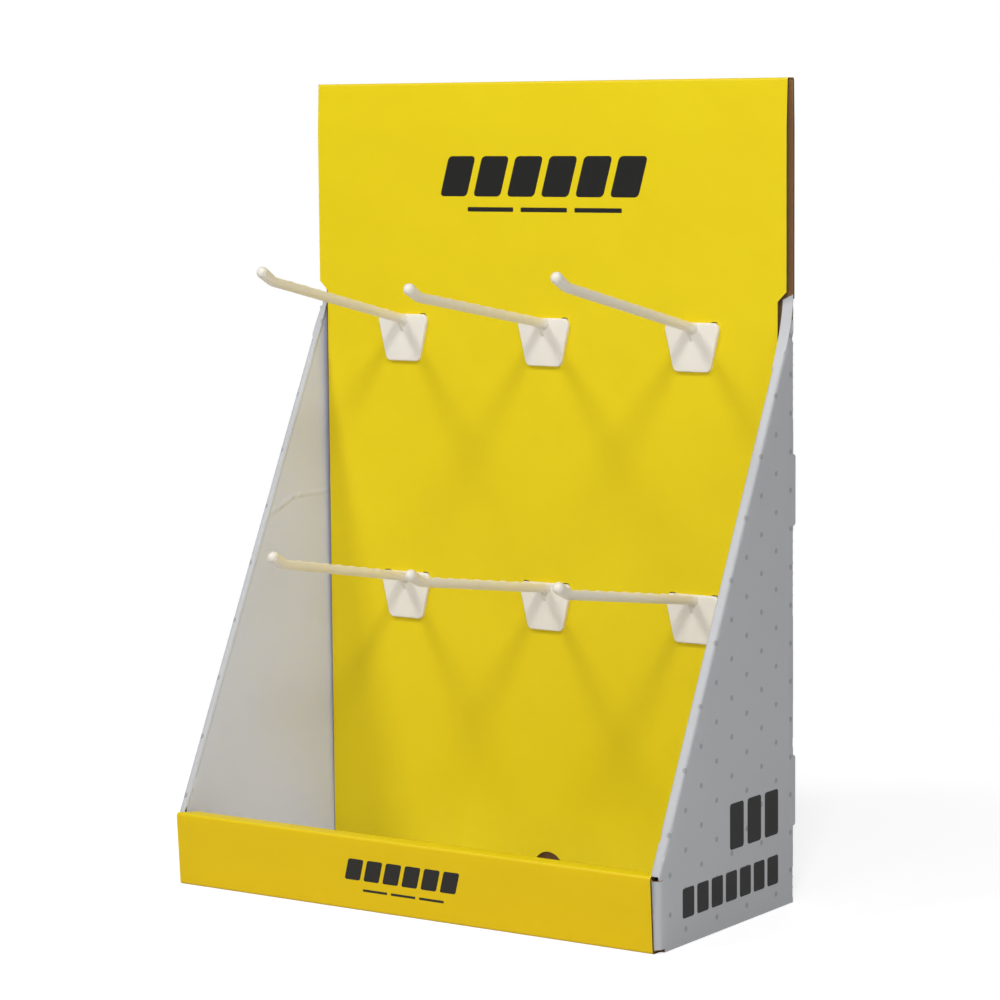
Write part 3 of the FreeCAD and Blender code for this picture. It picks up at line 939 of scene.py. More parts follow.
@dataclass
class LongStrip:
    """The strip of the sheet that makes the lip, floor, back, header and front panel."""

    name: str = "board_lip_back_and_front_panel"
    header_rows: tuple[BlockRow, ...] = (
        BlockRow((0.0, 398.0), (134.0, 23.0), 6, 4.5, 2.5, -0.28),
        BlockRow((1.0, 379.2), (104.0, 2.6), 3, 5.0, 0.6),
    )
    lip_rows: tuple[BlockRow, ...] = (
        BlockRow((-1.5, 23.0), (74.0, 12.0), 6, 2.4, 1.2, -0.28),
        BlockRow((-1.0, 11.8), (54.0, 1.4), 3, 2.5, 0.3),
    )
    top_wrap: float = 3.0
    foot_wrap: float = 1.0
    window_room: float = 1.0

    def __post_init__(self) -> None:
        """Works out the path of the strip's printed face, from the lip's inner foot on."""
        z = SIZES
        corners = [
            (z.lip_inner_y, 0.0),
            (z.lip_inner_y, z.lip_height),
            (z.lip_top_y, z.lip_height),
            (z.lip_foot_y, 0.0),
            (z.back_y, 0.0),
            (z.back_y, z.header_bend_z),
            (z.back_top_y, z.header_height),
            (z.front_top_y, z.header_height),
            (z.panel_y, z.header_bend_z),
            (z.panel_y, z.floor_top),
        ]
        radii = [z.fold] * 4 + [z.header_bend_radius] + [z.top_fold] * 2 + [z.header_bend_radius]
        self.path = RoundedPath(corners, radii, reverse=1)
        level = 100.0  # any height on the straight run of the back
        self.back_start = self.back_s(level) - level

    def back_s(self, height: float) -> float:
        """Distance along the strip of a height on the back."""
        return self.path.near(SIZES.back_y, height)

    def panel_s(self, height: float) -> float:
        """Distance along the strip of a height on the front panel."""
        return self.path.near(SIZES.panel_y, height)

    def lip_s(self, height: float) -> float:
        """Distance along the strip of a height on the lip's leaning front."""
        lean = (SIZES.lip_top_y - SIZES.lip_foot_y) / SIZES.lip_height
        return self.path.near(SIZES.lip_foot_y + height * lean, height)

    def edge(self, back_top: float, relief: bool) -> list[Point]:
        """One long edge, from the lip's inner foot to the front panel's foot, on the right.

        Args:
            back_top: half the width of the back ply above the shoulders.
            relief: whether the back ply is cut in between the side's top and the shoulder.

        Returns:
            The edge's corners.
        """
        z, near = SIZES, self.path.near
        strip_rear = near(z.lip_inner_y - z.board - z.lay_gap, z.lip_height)
        strip_front = near(z.lip_top_y + z.board, z.lip_height)
        floor_front = near(z.lip_inner_y - z.board, 0.0)
        foot = near(z.lip_inner_y, z.floor_top)
        tab_out, tab_in = z.lip_tab_x + z.lip_tab_half, z.lip_tab_x - z.lip_tab_half
        edge = [(tab_in, foot), (tab_in, 0.0), (tab_out, 0.0), (tab_out, foot), (z.lip_inner_half, foot)]
        edge += [(z.lip_inner_half, strip_rear), (z.lip_half, strip_front), (z.lip_half, floor_front)]
        edge.append((z.half_width - z.board - z.edge_gap, floor_front))
        floor_rear = near(z.inside_back_y - z.lay_gap, 0.0)
        edge += [(z.half_width - z.board - z.edge_gap, floor_rear), (z.corner_x, floor_rear)]
        for low, high in z.tongues:
            low_s, high_s = self.back_s(low - z.edge_gap), self.back_s(high + z.edge_gap)
            window = z.half_width - z.side_foot + self.window_room
            edge += [(z.corner_x, low_s), (window, low_s), (window, high_s), (z.corner_x, high_s)]
        side_top = self.back_s(z.side_top_z if relief else z.corner_top_z)
        fold_rear = near(z.back_top_y - z.board, z.header_height)
        edge.append((z.corner_x, side_top))
        if relief:
            relief_low, relief_high = self.back_s(z.shoulder_z - z.shoulder_drop), self.back_s(z.shoulder_z)
            edge += [(z.back_relief_half, side_top), (z.back_relief_half, relief_low), (back_top, relief_high)]
        else:
            edge.append((back_top, side_top))
        edge.append((back_top, fold_rear))
        shoulder, drop = self.panel_s(z.shoulder_z), self.panel_s(z.shoulder_z - z.shoulder_drop)
        edge += [(z.header_half, fold_rear), (z.header_half, shoulder), (z.panel_half, drop)]
        return edge + [(z.panel_half, self.path.distance[-1])]

    def outline(self) -> list[Point]:
        """The flat outline: the right edge, the notch in the panel's foot, and the left edge.

        Returns:
            The corners, with the notch as an arc.
        """
        z, end = SIZES, self.path.distance[-1]
        sill = z.floor_top - z.notch_rise
        lean = math.degrees(math.asin(sill / z.notch_radius))
        arc = arc_points((z.cut_offset, 0.0), z.notch_radius, lean, 180.0 - lean, 25)
        notch = [(x, end - (height - sill)) for x, height in arc]
        left = [(-x, s) for x, s in reversed(self.edge(z.back_top_left, True))]
        return self.edge(z.back_top_right, False) + notch + left

    def slots(self) -> list[list[Point]]:
        """The openings: two upright slots behind each hook, and those in the floor.

        Returns:
            One closed loop for each opening.
        """
        z, loops = SIZES, []
        for row in (z.upper_row, z.lower_row):
            for column in (-1, 0, 1):
                for hand in (-1, 1):
                    x = z.cut_offset + column * z.hook_pitch + hand * z.slot_spread
                    middle = self.panel_s(row + z.slot_over_plate - z.slot_height / 2)
                    loops.append(rounded_box((x, middle), (z.slot_half, z.slot_height / 2), z.slot_corner))
        near, gap = self.path.near, z.edge_gap
        low, high = near(z.lip_inner_y - z.board - gap, 0.0), near(z.lip_inner_y + gap, 0.0)
        lip_half, side_half = (z.lip_tab_half + gap, (high - low) / 2), (z.side_slot_half, z.side_tab_half + gap)
        for hand in (-1, 1):
            loops.append(rounded_box((hand * z.lip_tab_x, (low + high) / 2), lip_half, z.cut_corner, 2))
            side = (hand * (z.half_width - z.side_slot_inset), near(0.0, 0.0))
            loops.append(rounded_box(side, side_half, z.cut_corner, 2))
        return loops

    def marks(self) -> list[list[Point]]:
        """Plain blocks and a thin line on the header and on the lip."""
        rows = [(row, self.panel_s) for row in self.header_rows] + [(row, self.lip_s) for row in self.lip_rows]
        return [loop for row, place in rows for loop in row.loops(place)]

    def fold(self, flat: np.ndarray, depth: np.ndarray) -> np.ndarray:
        """Places in space: the second flat coordinate runs along the path, the first is X."""
        y, z = self.path.at(flat[:, 1], depth)
        return np.stack([flat[:, 0], y, z], 1)

    def face_of(self, middle: np.ndarray) -> np.ndarray:
        """Yellow on the lip and, from just behind the top fold, on the header and the panel.

        Args:
            middle: the flat middles of the printed triangles.

        Returns:
            Their slot numbers.
        """
        crease, foot, top = self.colour_changes()
        s = middle[:, 1]
        yellow = (s < crease) | (s > top)
        return np.select([yellow, s < foot], [BoardFace.YELLOW.value, BoardFace.LIP.value], BoardFace.DOTTED.value)

    def reverse_of(self, middle: np.ndarray) -> np.ndarray:
        """Kraft, but for the tray's floor, which gets the brightened white paper and throws light up the panel.

        Args:
            middle: the flat middles of the reverse's triangles.

        Returns:
            Their slot numbers.
        """
        low, high = self.path.near(SIZES.lip_inner_y, 0.0), self.path.near(SIZES.panel_y, 0.0)
        floor = (middle[:, 1] > low) & (middle[:, 1] < high)
        return np.where(floor, BoardFace.PLAIN.value, BoardFace.KRAFT.value)

    def colour_changes(self) -> tuple[float, float, float]:
        """Distances at which the print changes.

        Returns:
            Those of the lip's front crease, of its foot, and of the line behind the top fold.
        """
        z, near = SIZES, self.path.near
        crease, foot = near(z.lip_top_y, z.lip_height), near(z.lip_foot_y + self.foot_wrap, 0.0)
        return crease, foot, self.back_s(z.header_height - self.top_wrap)

    def print_place(self, flat: np.ndarray) -> np.ndarray:
        """Print coordinates: X, and the height up the back."""
        return np.stack([flat[:, 0], flat[:, 1] - self.back_start], 1)

    def build(self, finishes: dict[BoardFace, bpy.types.Material]) -> bpy.types.Object:
        """Makes the piece.

        Args:
            finishes: one material for each kind of face.

        Returns:
            The piece.
        """
        levels = [(0.0, 1.0, float(s)) for s in self.path.bend_levels]
        levels += [(0.0, 1.0, s) for s in self.colour_changes()]
        levels += [(0.0, 1.0, self.path.near(y, 0.0)) for y in (SIZES.lip_inner_y, SIZES.panel_y)]
        net = FlatNet(self.outline(), self.slots(), self.marks(), levels)
        return fold_board(self, net, finishes)


@dataclass
class SideWall:
    """One side of the sheet: outer wall, flat sloping top, inner wall and front flap.

    In the flat it lies as the outer wall stands, with the first coordinate towards the back
    and the second up. Beyond the sloping line it folds over, in front of the front corner it
    wraps behind the lip, and behind the back corner it wraps onto the back.
    """

    hand: int
    top: float
    front_bend_y: float = -66.0
    front_radius: float = 4.0
    flap_top: float = 38.2
    flap_foot: float = 2.0
    flap_length: float = 55.0
    wall_front_y: float = -69.2
    inner_nose_y: float = -67.4
    inner_front_y: float = -66.2
    corner_trim: float = 30.0
    foot_front_y: float = -64.0
    tab_foot: float = 0.1
    print_overlap: float = 0.05
    slit: float = 0.3
    large_blocks: BlockRow = BlockRow((29.0, 54.0), (52.0, 25.0), 3, 4.0, 1.8)
    small_blocks: BlockRow = BlockRow((4.5, 22.0), (101.0, 16.0), 7, 3.0, 1.4)

    def __post_init__(self) -> None:
        """Works out the section across the sloping top and the slope's directions."""
        z = SIZES
        self.name = "board_side_left" if self.hand < 0 else "board_side_right"
        self.reach, inner_top = z.side_reach, z.half_width - self.top
        outer, inner = (z.half_width, self.reach), (z.half_width - z.side_foot, self.reach)
        corners = [outer, (z.half_width, 0.0), (inner_top, 0.0), inner]
        self.section = RoundedPath(corners, [z.fold] * 2, reverse=-1)
        angle = math.atan(z.slope)
        self.along = np.array([math.sin(angle), math.cos(angle)])
        self.down = np.array([math.cos(angle), -math.sin(angle)])
        self.start = np.array([z.slope_y(0.0), 0.0])
        self.rear_bend_y = z.back_y - z.fold

    def flat_inner(self, y: float, z: float) -> Point:
        """Flat place of a point of the folded inner wall.

        Args:
            y: the point's Y.
            z: its height.

        Returns:
            Both flat coordinates.
        """
        off = np.array([y, z]) - self.start
        t, w = off @ self.along, max(float(off @ self.down), 0.0)
        x = SIZES.half_width - self.top - (SIZES.side_foot - self.top) * w / self.reach
        beyond = self.section.near(x, w) - self.reach
        place = self.start + self.along * t - self.down * beyond
        return float(place[0]), float(place[1])

    def slope_point(self, y: float) -> Point:
        """Flat place on the sloping line at a Y."""
        return y, SIZES.slope_z(y)

    def outline(self) -> list[Point]:
        """The flat outline, from the outer wall's foot up the back edge and round.

        Returns:
            The corners.
        """
        z, slit, bend = SIZES, self.slit, self.rear_bend_y
        wrap, out = bend + z.fold * math.pi / 2, z.tongue_out
        loop = [(self.foot_front_y, 0.0), (wrap, 0.0)]
        for low, high in z.tongues:
            loop += [(wrap, low - slit), (bend, low - slit), (bend, low), (z.back_y, low)]
            loop += [(z.back_y + out, low + out), (z.back_y + out, high - out), (z.back_y, high)]
            loop += [(bend, high), (bend, high + slit), (wrap, high + slit)]
        slope_end = self.slope_point(bend)
        corner_top = slope_end[1] if self.hand < 0 else z.corner_top_z
        loop += [(wrap, corner_top), (bend, corner_top)]
        if self.hand > 0:
            loop.append(slope_end)
        loop += [self.flat_inner(*place) for place in self.inner_corners()]
        loop += [self.slope_point(self.wall_front_y), (self.wall_front_y, self.flap_top + slit)]
        end = self.front_bend_y - self.front_radius * math.pi / 2 - (self.flap_length - self.front_radius)
        loop += [(self.front_bend_y, self.flap_top + slit), (self.front_bend_y, self.flap_top)]
        loop += [(end, self.flap_top), (end, self.flap_foot), (self.front_bend_y, self.flap_foot)]
        return loop + [(self.foot_front_y, self.flap_foot)]

    def inner_corners(self) -> list[Point]:
        """The inner wall's outline as it stands folded, from the back of its top to the front.

        Returns:
            Y and height of each corner.
        """
        z, front = SIZES, self.inner_front_y
        rear, half = z.inside_back_y - z.lay_gap, z.side_tab_half
        inner = [self.slope_point(rear)]
        for low, high in reversed(z.tongues):
            inner += [(rear, high), (z.back_y, high), (z.back_y, low), (rear, low)]
        inner += [(rear, z.floor_top), (half, z.floor_top), (half, self.tab_foot)]
        inner += [(-half, self.tab_foot), (-half, z.floor_top)]
        inner += [(front + self.corner_trim, z.floor_top), (front, z.floor_top + self.corner_trim)]
        inner += [(front, self.flap_top), (self.inner_nose_y, self.flap_top)]
        return inner + [self.slope_point(self.inner_nose_y), self.slope_point(self.wall_front_y)]

    def marks(self) -> list[list[Point]]:
        """Two rows of plain blocks low on the outer wall, near its back edge."""
        return self.large_blocks.loops() + self.small_blocks.loops()

    def fold(self, flat: np.ndarray, depth: np.ndarray) -> np.ndarray:
        """Places in space.

        The distance beyond the sloping line runs round the section, and the distance along
        it stays. In front of and behind the wall, the flat distance past the bend becomes
        an angle round an upright arc, and then a straight run.

        Args:
            flat: the flat points.
            depth: their depths through the board.

        Returns:
            One row for each point, in millimetres.
        """
        z = SIZES
        off = flat - self.start
        t, beyond = off @ self.along, -(off @ self.down)
        x, w = self.section.at(beyond + self.reach, depth)
        place = self.start + t[:, None] * self.along + w[:, None] * self.down
        y, height = place[:, 0], place[:, 1]
        front = (flat[:, 0] < self.front_bend_y - ON_LINE) & (flat[:, 1] < self.flap_top + self.slit / 2)
        past = self.front_bend_y - flat[:, 0]
        angle = np.clip(past / self.front_radius, 0, math.pi / 2)
        rest = np.maximum(past - self.front_radius * math.pi / 2, 0)
        radius = self.front_radius - depth
        x = np.where(front, z.half_width - self.front_radius + radius * np.cos(angle) - rest, x)
        y = np.where(front, self.front_bend_y - radius * np.sin(angle), y)
        height = np.where(front, flat[:, 1], height)
        rear = flat[:, 0] > self.rear_bend_y - ON_LINE
        for low, high in z.tongues:
            rear &= ~((flat[:, 1] > low - self.slit / 2) & (flat[:, 1] < high + self.slit / 2))
        angle = np.clip((flat[:, 0] - self.rear_bend_y) / z.fold, 0, math.pi / 2)
        radius = z.fold - depth
        x = np.where(rear, z.corner_x + radius * np.cos(angle), x)
        y = np.where(rear, self.rear_bend_y + radius * np.sin(angle), y)
        height = np.where(rear, flat[:, 1], height)
        return np.stack([self.hand * x, y, height], 1)

    def face_of(self, middle: np.ndarray) -> np.ndarray:
        """Dotted on the outer wall and the flat top; the inner wall gets a brighter white, which is painted light.

        Args:
            middle: the flat middles of the printed triangles.

        Returns:
            Their slot numbers.
        """
        beyond = -((middle - self.start) @ self.down)
        inner = beyond > self.section.bend_levels.max() - self.reach - self.print_overlap
        return np.where(inner, BoardFace.PLAIN.value, BoardFace.DOTTED.value)

    def reverse_of(self, middle: np.ndarray) -> np.ndarray:
        """Kraft everywhere."""
        return np.full(len(middle), BoardFace.KRAFT.value)

    def printed_inner(self, y: float, z: float) -> Point:
        """Print coordinates of a point of the folded inner wall."""
        place = self.print_place(np.array([self.flat_inner(y, z)]))[0]
        return float(place[0]), float(place[1])

    def print_place(self, flat: np.ndarray) -> np.ndarray:
        """Print coordinates that go on from the back's: distance round the corner, and height."""
        wrap = self.rear_bend_y + SIZES.fold * math.pi / 2
        return np.stack([self.hand * (SIZES.corner_x + wrap - flat[:, 0]), flat[:, 1]], 1)

    def build(self, finishes: dict[BoardFace, bpy.types.Material]) -> bpy.types.Object:
        """Makes the piece.

        Args:
            finishes: one material for each kind of face.

        Returns:
            The piece.
        """
        beyond = self.section.bend_levels - self.reach
        origin = -float(self.start @ self.down)
        levels = [(-float(self.down[0]), -float(self.down[1]), float(b) + origin) for b in beyond]
        levels += [(1.0, 0.0, self.rear_bend_y + SIZES.fold * a) for a in np.linspace(0, math.pi / 2, 7)[:-1]]
        levels += [(1.0, 0.0, self.front_bend_y - self.front_radius * a) for a in np.linspace(0, math.pi / 2, 9)]
        return fold_board(self, FlatNet(self.outline(), [], self.marks(), levels), finishes)


@dataclass
class SideNose:
    """The end of a side's flat top, squeezed up between the front panel and the back.

    A surface ruled between two quadratic curves in y and z. The outer one follows the sloping
    edge and then stands up along the corner, and the inner one rises behind the panel. Both
    may be tucked inwards towards their ends.
    """

    hand: int
    top: float
    outer_top: float
    inner_top: float
    outer_tuck: float
    inner_tuck: float
    inner_start_y: float = 58.0
    inner_turn_y: float = 68.4
    inner_end_gap: float = 0.9
    outer_start_y: float = 63.0
    outer_turn_gap: float = 0.2
    outer_skin: float = 0.04
    inner_lap: float = 0.2
    back_skin: float = 0.05
    lift: float = 0.03
    thickness: float = 0.5

    def edge(self, start: float, turn: float, end: Point, t: np.ndarray) -> tuple[np.ndarray, np.ndarray]:
        """One edge: a quadratic curve from the sloping line, at first along it.

        Args:
            start: Y of its start on the line.
            turn: Y of its middle control point, on the line too.
            end: Y and height of its end.
            t: from 0 at the start to 1 at the end.

        Returns:
            Y and height.
        """
        corners = [(y, SIZES.slope_z(y) + self.lift) for y in (start, turn)] + [end]
        weights = ((1 - t) ** 2, 2 * t * (1 - t), t**2)
        y, height = (sum(w * corner[i] for w, corner in zip(weights, corners)) for i in (0, 1))
        return y, height

    def build(self, finish: bpy.types.Material) -> bpy.types.Object:
        """Makes the piece.

        Args:
            finish: its material.

        Returns:
            The piece: the ruled surface, a copy lower down, and a wall round both.
        """
        z = SIZES
        rear = z.inside_back_y - z.lay_gap
        t, across = np.meshgrid(np.linspace(0, 1, 25), np.linspace(0, 1, 9), indexing="ij")
        outer_y, outer_z = self.edge(self.outer_start_y, rear - self.outer_turn_gap, (rear, self.outer_top), t)
        inner_end = (rear - self.inner_end_gap, self.inner_top)
        inner_y, inner_z = self.edge(self.inner_start_y, self.inner_turn_y, inner_end, t)
        outer = z.half_width - self.outer_skin - self.outer_tuck * t**2
        inner = z.half_width - self.top + self.inner_lap - self.inner_tuck * t
        x = outer + (inner - outer) * across
        y = outer_y + (inner_y - outer_y) * across
        height = outer_z + (inner_z - outer_z) * across
        upper = np.stack([self.hand * x, y, height], -1).reshape(-1, 3)
        lower = upper + (0.0, self.thickness / 2, -self.thickness)
        lower[:, 1] = np.minimum(lower[:, 1], z.inside_back_y - self.back_skin)
        rows, columns = y.shape
        index = np.arange(rows * columns).reshape(rows, columns)
        quads = np.stack([index[:-1, :-1], index[1:, :-1], index[1:, 1:], index[:-1, 1:]], -1).reshape(-1, 4)
        ring = np.concatenate([index[:-1, 0], index[-1, :-1], index[:0:-1, -1], index[0, :0:-1]])
        after, count = np.roll(ring, -1), rows * columns
        walls = np.stack([ring, after, after + count, ring + count], 1)
        points = np.concatenate([upper, lower])
        faces = outward(points, np.concatenate([quads, quads[:, ::-1] + count, walls[:, ::-1]]))
        piece = make_mesh("board_nose_left" if self.hand < 0 else "board_nose_right", points, faces)
        lay_net(piece, faces, points[:, [0, 2]])
        piece.data.materials.append(finish)
        return add_piece(piece, BOARD_NODE)


# Hooks


def tube(rings: np.ndarray) -> tuple[np.ndarray, np.ndarray]:
    """A closed skin through rings of points, with a pole in the middle of each end ring.

    Args:
        rings: array of ring, point round the ring, and coordinates.

    Returns:
        The points and the triangles.
    """
    count, around = rings.shape[:2]
    points = np.concatenate([rings.reshape(-1, 3), rings[0].mean(0)[None], rings[-1].mean(0)[None]])
    index = np.arange(count * around).reshape(count, around)
    nxt = np.roll(index, -1, axis=1)
    a, b, c, d = index[:-1], nxt[:-1], nxt[1:], index[1:]
    sides = np.concatenate([np.stack([a, b, c], -1).reshape(-1, 3), np.stack([a, c, d], -1).reshape(-1, 3)])
    first = np.stack([nxt[0], index[0], np.full(around, count * around)], 1)
    last = np.stack([index[-1], nxt[-1], np.full(around, count * around + 1)], 1)
    return points, outward(points, np.concatenate([sides, first, last]))


@dataclass
class PegHook:
    """One moulded hook: plate, ridged rod with a rising tip, rib and two tongues."""

    node: str
    column: int
    row: float
    rise: float
    swing: float
    finish: bpy.types.Material
    plate_top: float = 18.1
    plate_foot: float = 11.6
    plate_height: float = 27.3
    plate_thickness: float = 2.0
    plate_corner: float = 3.6
    rim: float = 0.8
    rod_radius: float = 2.85
    rod_drop: float = 2.8
    rod_length: float = 124.0
    rod_flat: float = 2.45
    bend_radius: float = 12.0
    tip_rise: float = 18.0
    tip_length: float = 10.0
    tip_radius: float = 3.3
    bump_first: float = 17.0
    bump_pitch: float = 13.0
    bump_count: int = 8
    bump_height: float = 0.75
    bump_half: float = 2.0
    root_flare: float = 1.1
    flare_run: float = 1.6
    sink: float = 1.0
    rib_foot: float = 4.6
    rib_heel: float = 1.6
    rib_reach: float = 5.0
    rib_toe: float = 1.2
    rib_half: float = 0.8
    rib_edge: float = 0.25
    tongue_drop: float = 4.0
    tongue_neck: float = 5.6
    tongue_half: float = 1.7
    soft_edge: float = 0.2
    smooth: float = 50.0

    @property
    def x(self) -> float:
        """X of the hook's middle."""
        return SIZES.cut_offset + self.column * SIZES.hook_pitch

    def rod(self) -> tuple[np.ndarray, np.ndarray]:
        """The rod as a profile carried along its bent middle line.

        The line is straight, turns up through an arc and ends straight. The profile is a
        circle cut flat on top, by the lesser of the radius and the flat's height over the
        cosine of the angle from the top. The flat rises in short round bumps. Near the
        plate the radius flares, and past the ball's middle it closes as a sphere.

        Returns:
            The points and the triangles.
        """
        run = self.bend_radius * math.tan(math.radians(self.tip_rise) / 2)
        arc = self.bend_radius * math.radians(self.tip_rise)
        bend_start = self.rod_length - run
        ball = bend_start + arc + self.tip_length - run
        closing = np.sin(np.linspace(0, math.pi / 2, 11)) * self.tip_radius * 0.999
        s = np.concatenate([np.arange(-self.sink, ball, 0.75), ball + closing])
        turn = np.clip((s - bend_start) / self.bend_radius, 0, math.radians(self.tip_rise))
        rest = np.maximum(s - bend_start - arc, 0)
        ahead = np.minimum(s, bend_start) + self.bend_radius * np.sin(turn) + rest * np.cos(turn)
        up = self.bend_radius * (1 - np.cos(turn)) + rest * np.sin(turn)
        grow = np.clip((s - bend_start) / (ball - bend_start), 0, 1)
        radius = self.rod_radius + (self.tip_radius - self.rod_radius) * grow
        radius = radius + self.root_flare * np.exp(-np.maximum(s, 0) / self.flare_run)
        cap = np.sqrt(np.clip(1 - ((s - ball) / self.tip_radius) ** 2, 0.0, 1.0))
        radius = np.where(s > ball, self.tip_radius * cap, radius)
        centres = self.bump_first + self.bump_pitch * np.arange(self.bump_count)
        away = np.abs(s[:, None] - centres).min(1)
        bump = self.bump_height * np.sqrt(np.clip(1 - (away / self.bump_half) ** 2, 0, 1))
        flat = self.rod_flat + bump + 3.0 * grow
        angle = np.linspace(0, 2 * math.pi, 33)[:-1]
        cosine = np.cos(angle)
        limit = np.where(cosine > 0.2, flat[:, None] / np.maximum(cosine, 0.2), 10.0)
        around = np.minimum(radius[:, None], limit)
        sideways = around * np.sin(angle)
        lift = around * np.cos(angle)
        fore = ahead[:, None] - lift * np.sin(turn)[:, None]
        high = up[:, None] + lift * np.cos(turn)[:, None]
        local = np.stack([sideways, -fore, high], -1)
        tilt = Matrix.Rotation(math.radians(-self.rise), 3, "X")
        sway = Matrix.Rotation(math.radians(self.swing), 3, "Z")
        rings = local @ np.array(sway @ tilt).T
        root = (self.x, SIZES.panel_y - self.plate_thickness, self.row - self.rod_drop)
        return tube(rings + root)

    def plate(self) -> tuple[np.ndarray, np.ndarray]:
        """The plate: rounded shield loops, from the back over the rounded rim to the front.

        Each ring is the outline drawn in by an inset, at its own distance from the panel.

        Returns:
            The points and the triangles.
        """
        z = SIZES
        loops = []
        quarter = np.linspace(0, math.pi / 2, 6)
        insets = np.concatenate([[0.0], self.rim * (1 - np.cos(quarter)), [3.0, 6.0, 9.0]])
        rounded = self.plate_thickness - self.rim + self.rim * np.sin(quarter)
        fronts = np.concatenate([[0.0], rounded, [self.plate_thickness] * 3])
        for inset, front in zip(insets, fronts):
            outline = self.shield(float(inset))
            y = np.full(len(outline), z.panel_y - front)
            loops.append(np.stack([outline[:, 0], y, outline[:, 1]], 1))
        return tube(np.array(loops))

    def shield(self, inset: float) -> np.ndarray:
        """The plate's outline, a trapezium with round corners.

        Args:
            inset: how far it is drawn in.

        Returns:
            X and height of each point.
        """
        foot = self.row - self.plate_height
        lean = (self.plate_top - self.plate_foot) / self.plate_height
        side = inset * math.hypot(1.0, lean)
        low, high = foot + inset, self.row - inset
        wide = self.plate_top - side - lean * inset
        narrow = self.plate_foot - side + lean * inset
        corners = np.array([(wide, high), (-wide, high), (-narrow, low), (narrow, low)])
        radius = max(self.plate_corner - inset, 0.4)
        points = []
        for i, corner in enumerate(corners):
            before, after = corners[i - 1] - corner, corners[(i + 1) % 4] - corner
            before, after = before / np.linalg.norm(before), after / np.linalg.norm(after)
            half = math.acos(float(before @ after)) / 2
            centre = corner + (before + after) / np.linalg.norm(before + after) * radius / math.sin(half)
            sweep = math.pi - 2 * half
            first = math.atan2(*(corner + before * radius / math.tan(half) - centre)[::-1])
            angles = first + np.linspace(0, sweep, 9)
            points.append(centre + radius * np.stack([np.cos(angles), np.sin(angles)], 1))
        loop = np.concatenate(points)
        loop[:, 0] += self.x
        return loop

    def slab(self, outline: Sequence[Point], x: float, half: float, edge: float) -> tuple[np.ndarray, np.ndarray]:
        """A flat part across X.

        Args:
            outline: its outline in Y and height.
            x: its middle.
            half: half its thickness.
            edge: how far its two faces are drawn in.

        Returns:
            The points and the triangles.
        """
        loop = np.array(outline, float)
        middle = loop.mean(0)
        drawn = middle + (loop - middle) * (1 - edge / np.abs(loop - middle).max())
        rings = []
        for shape, place in ((drawn, x - half), (loop, x - half + edge), (loop, x + half - edge), (drawn, x + half)):
            rings.append(np.column_stack([np.full(len(shape), place), shape]))
        return tube(np.array(rings))

    def build(self) -> bpy.types.Object:
        """Makes the piece.

        Returns:
            The hook.
        """
        z = SIZES
        root_y, root_z = z.panel_y - self.plate_thickness, self.row - self.rod_drop
        inner, foot = root_y + self.sink, root_z - self.rod_radius - self.rib_foot
        rib = [(inner, root_z), (root_y - self.rib_reach, root_z)]
        rib += [(root_y - self.rib_toe, foot + self.rib_heel), (root_y, foot), (inner, foot)]
        low = self.row + z.slot_over_plate - z.slot_height + z.edge_gap
        high, drop = low + self.tongue_neck, low - self.tongue_drop
        start, behind, rear = z.panel_y - self.sink, z.panel_y + z.board + z.lay_gap, z.inside_back_y - z.lay_gap
        tongue = [(start, low), (behind, low), (behind, drop), (rear, drop), (rear, high), (start, high)]
        parts = [self.plate(), self.rod(), self.slab(rib, self.x, self.rib_half, self.rib_edge)]
        for hand in (-1, 1):
            parts.append(self.slab(tongue, self.x + hand * z.slot_spread, self.tongue_half, self.soft_edge))
        counts = np.cumsum([0] + [len(points) for points, _ in parts])
        faces = np.concatenate([part[1] + count for part, count in zip(parts, counts)])
        points = np.concatenate([part[0] for part in parts])
        piece = make_mesh("peg_" + self.node, points, faces, self.smooth)
        piece.data.materials.append(self.finish)
        return add_piece(piece, self.node)


@dataclass
class HookSet:
    """The six hooks. Their rods aren't all straight: each has its own rise and swing."""

    finish: bpy.types.Material
    upper: tuple[tuple[float, float], ...] = ((12.6, -0.3), (9.5, 0.7), (12.9, -1.5))
    lower: tuple[tuple[float, float], ...] = ((9.9, 2.0), (8.3, 0.3), (8.2, -0.9))

    def build(self) -> list[bpy.types.Object]:
        """Makes the pieces.

        Returns:
            The upper row from left to right, and then the lower one.
        """
        pieces = []
        for name, height, angles in (("upper", SIZES.upper_row, self.upper), ("lower", SIZES.lower_row, self.lower)):
            for column, (side, (rise, swing)) in enumerate(zip(("left", "middle", "right"), angles), -1):
                hook = PegHook(f"hook_{name}_{side}", column, height, rise, swing, self.finish)
                pieces.append(hook.build())
        return pieces


# Studio


@dataclass(frozen=True)
class SoftBox:
    """A square soft box that faces the stand's middle; lengths in metres, power in watts."""

    name: str
    place: tuple[float, float, float]
    size: float
    power: float
    aim: tuple[float, float, float] = (0.0, 0.0, 0.22)

    def build(self) -> None:
        """Adds the lamp."""
        data = bpy.data.lights.new(self.name, "AREA")
        data.size = self.size
        data.energy = self.power
        lamp = bpy.data.objects.new(self.name, data)
        lamp.location = self.place
        lamp.rotation_mode = "QUATERNION"
        lamp.rotation_quaternion = (Vector(self.aim) - Vector(self.place)).to_track_quat("-Z", "Y")
        bpy.context.scene.collection.objects.link(lamp)


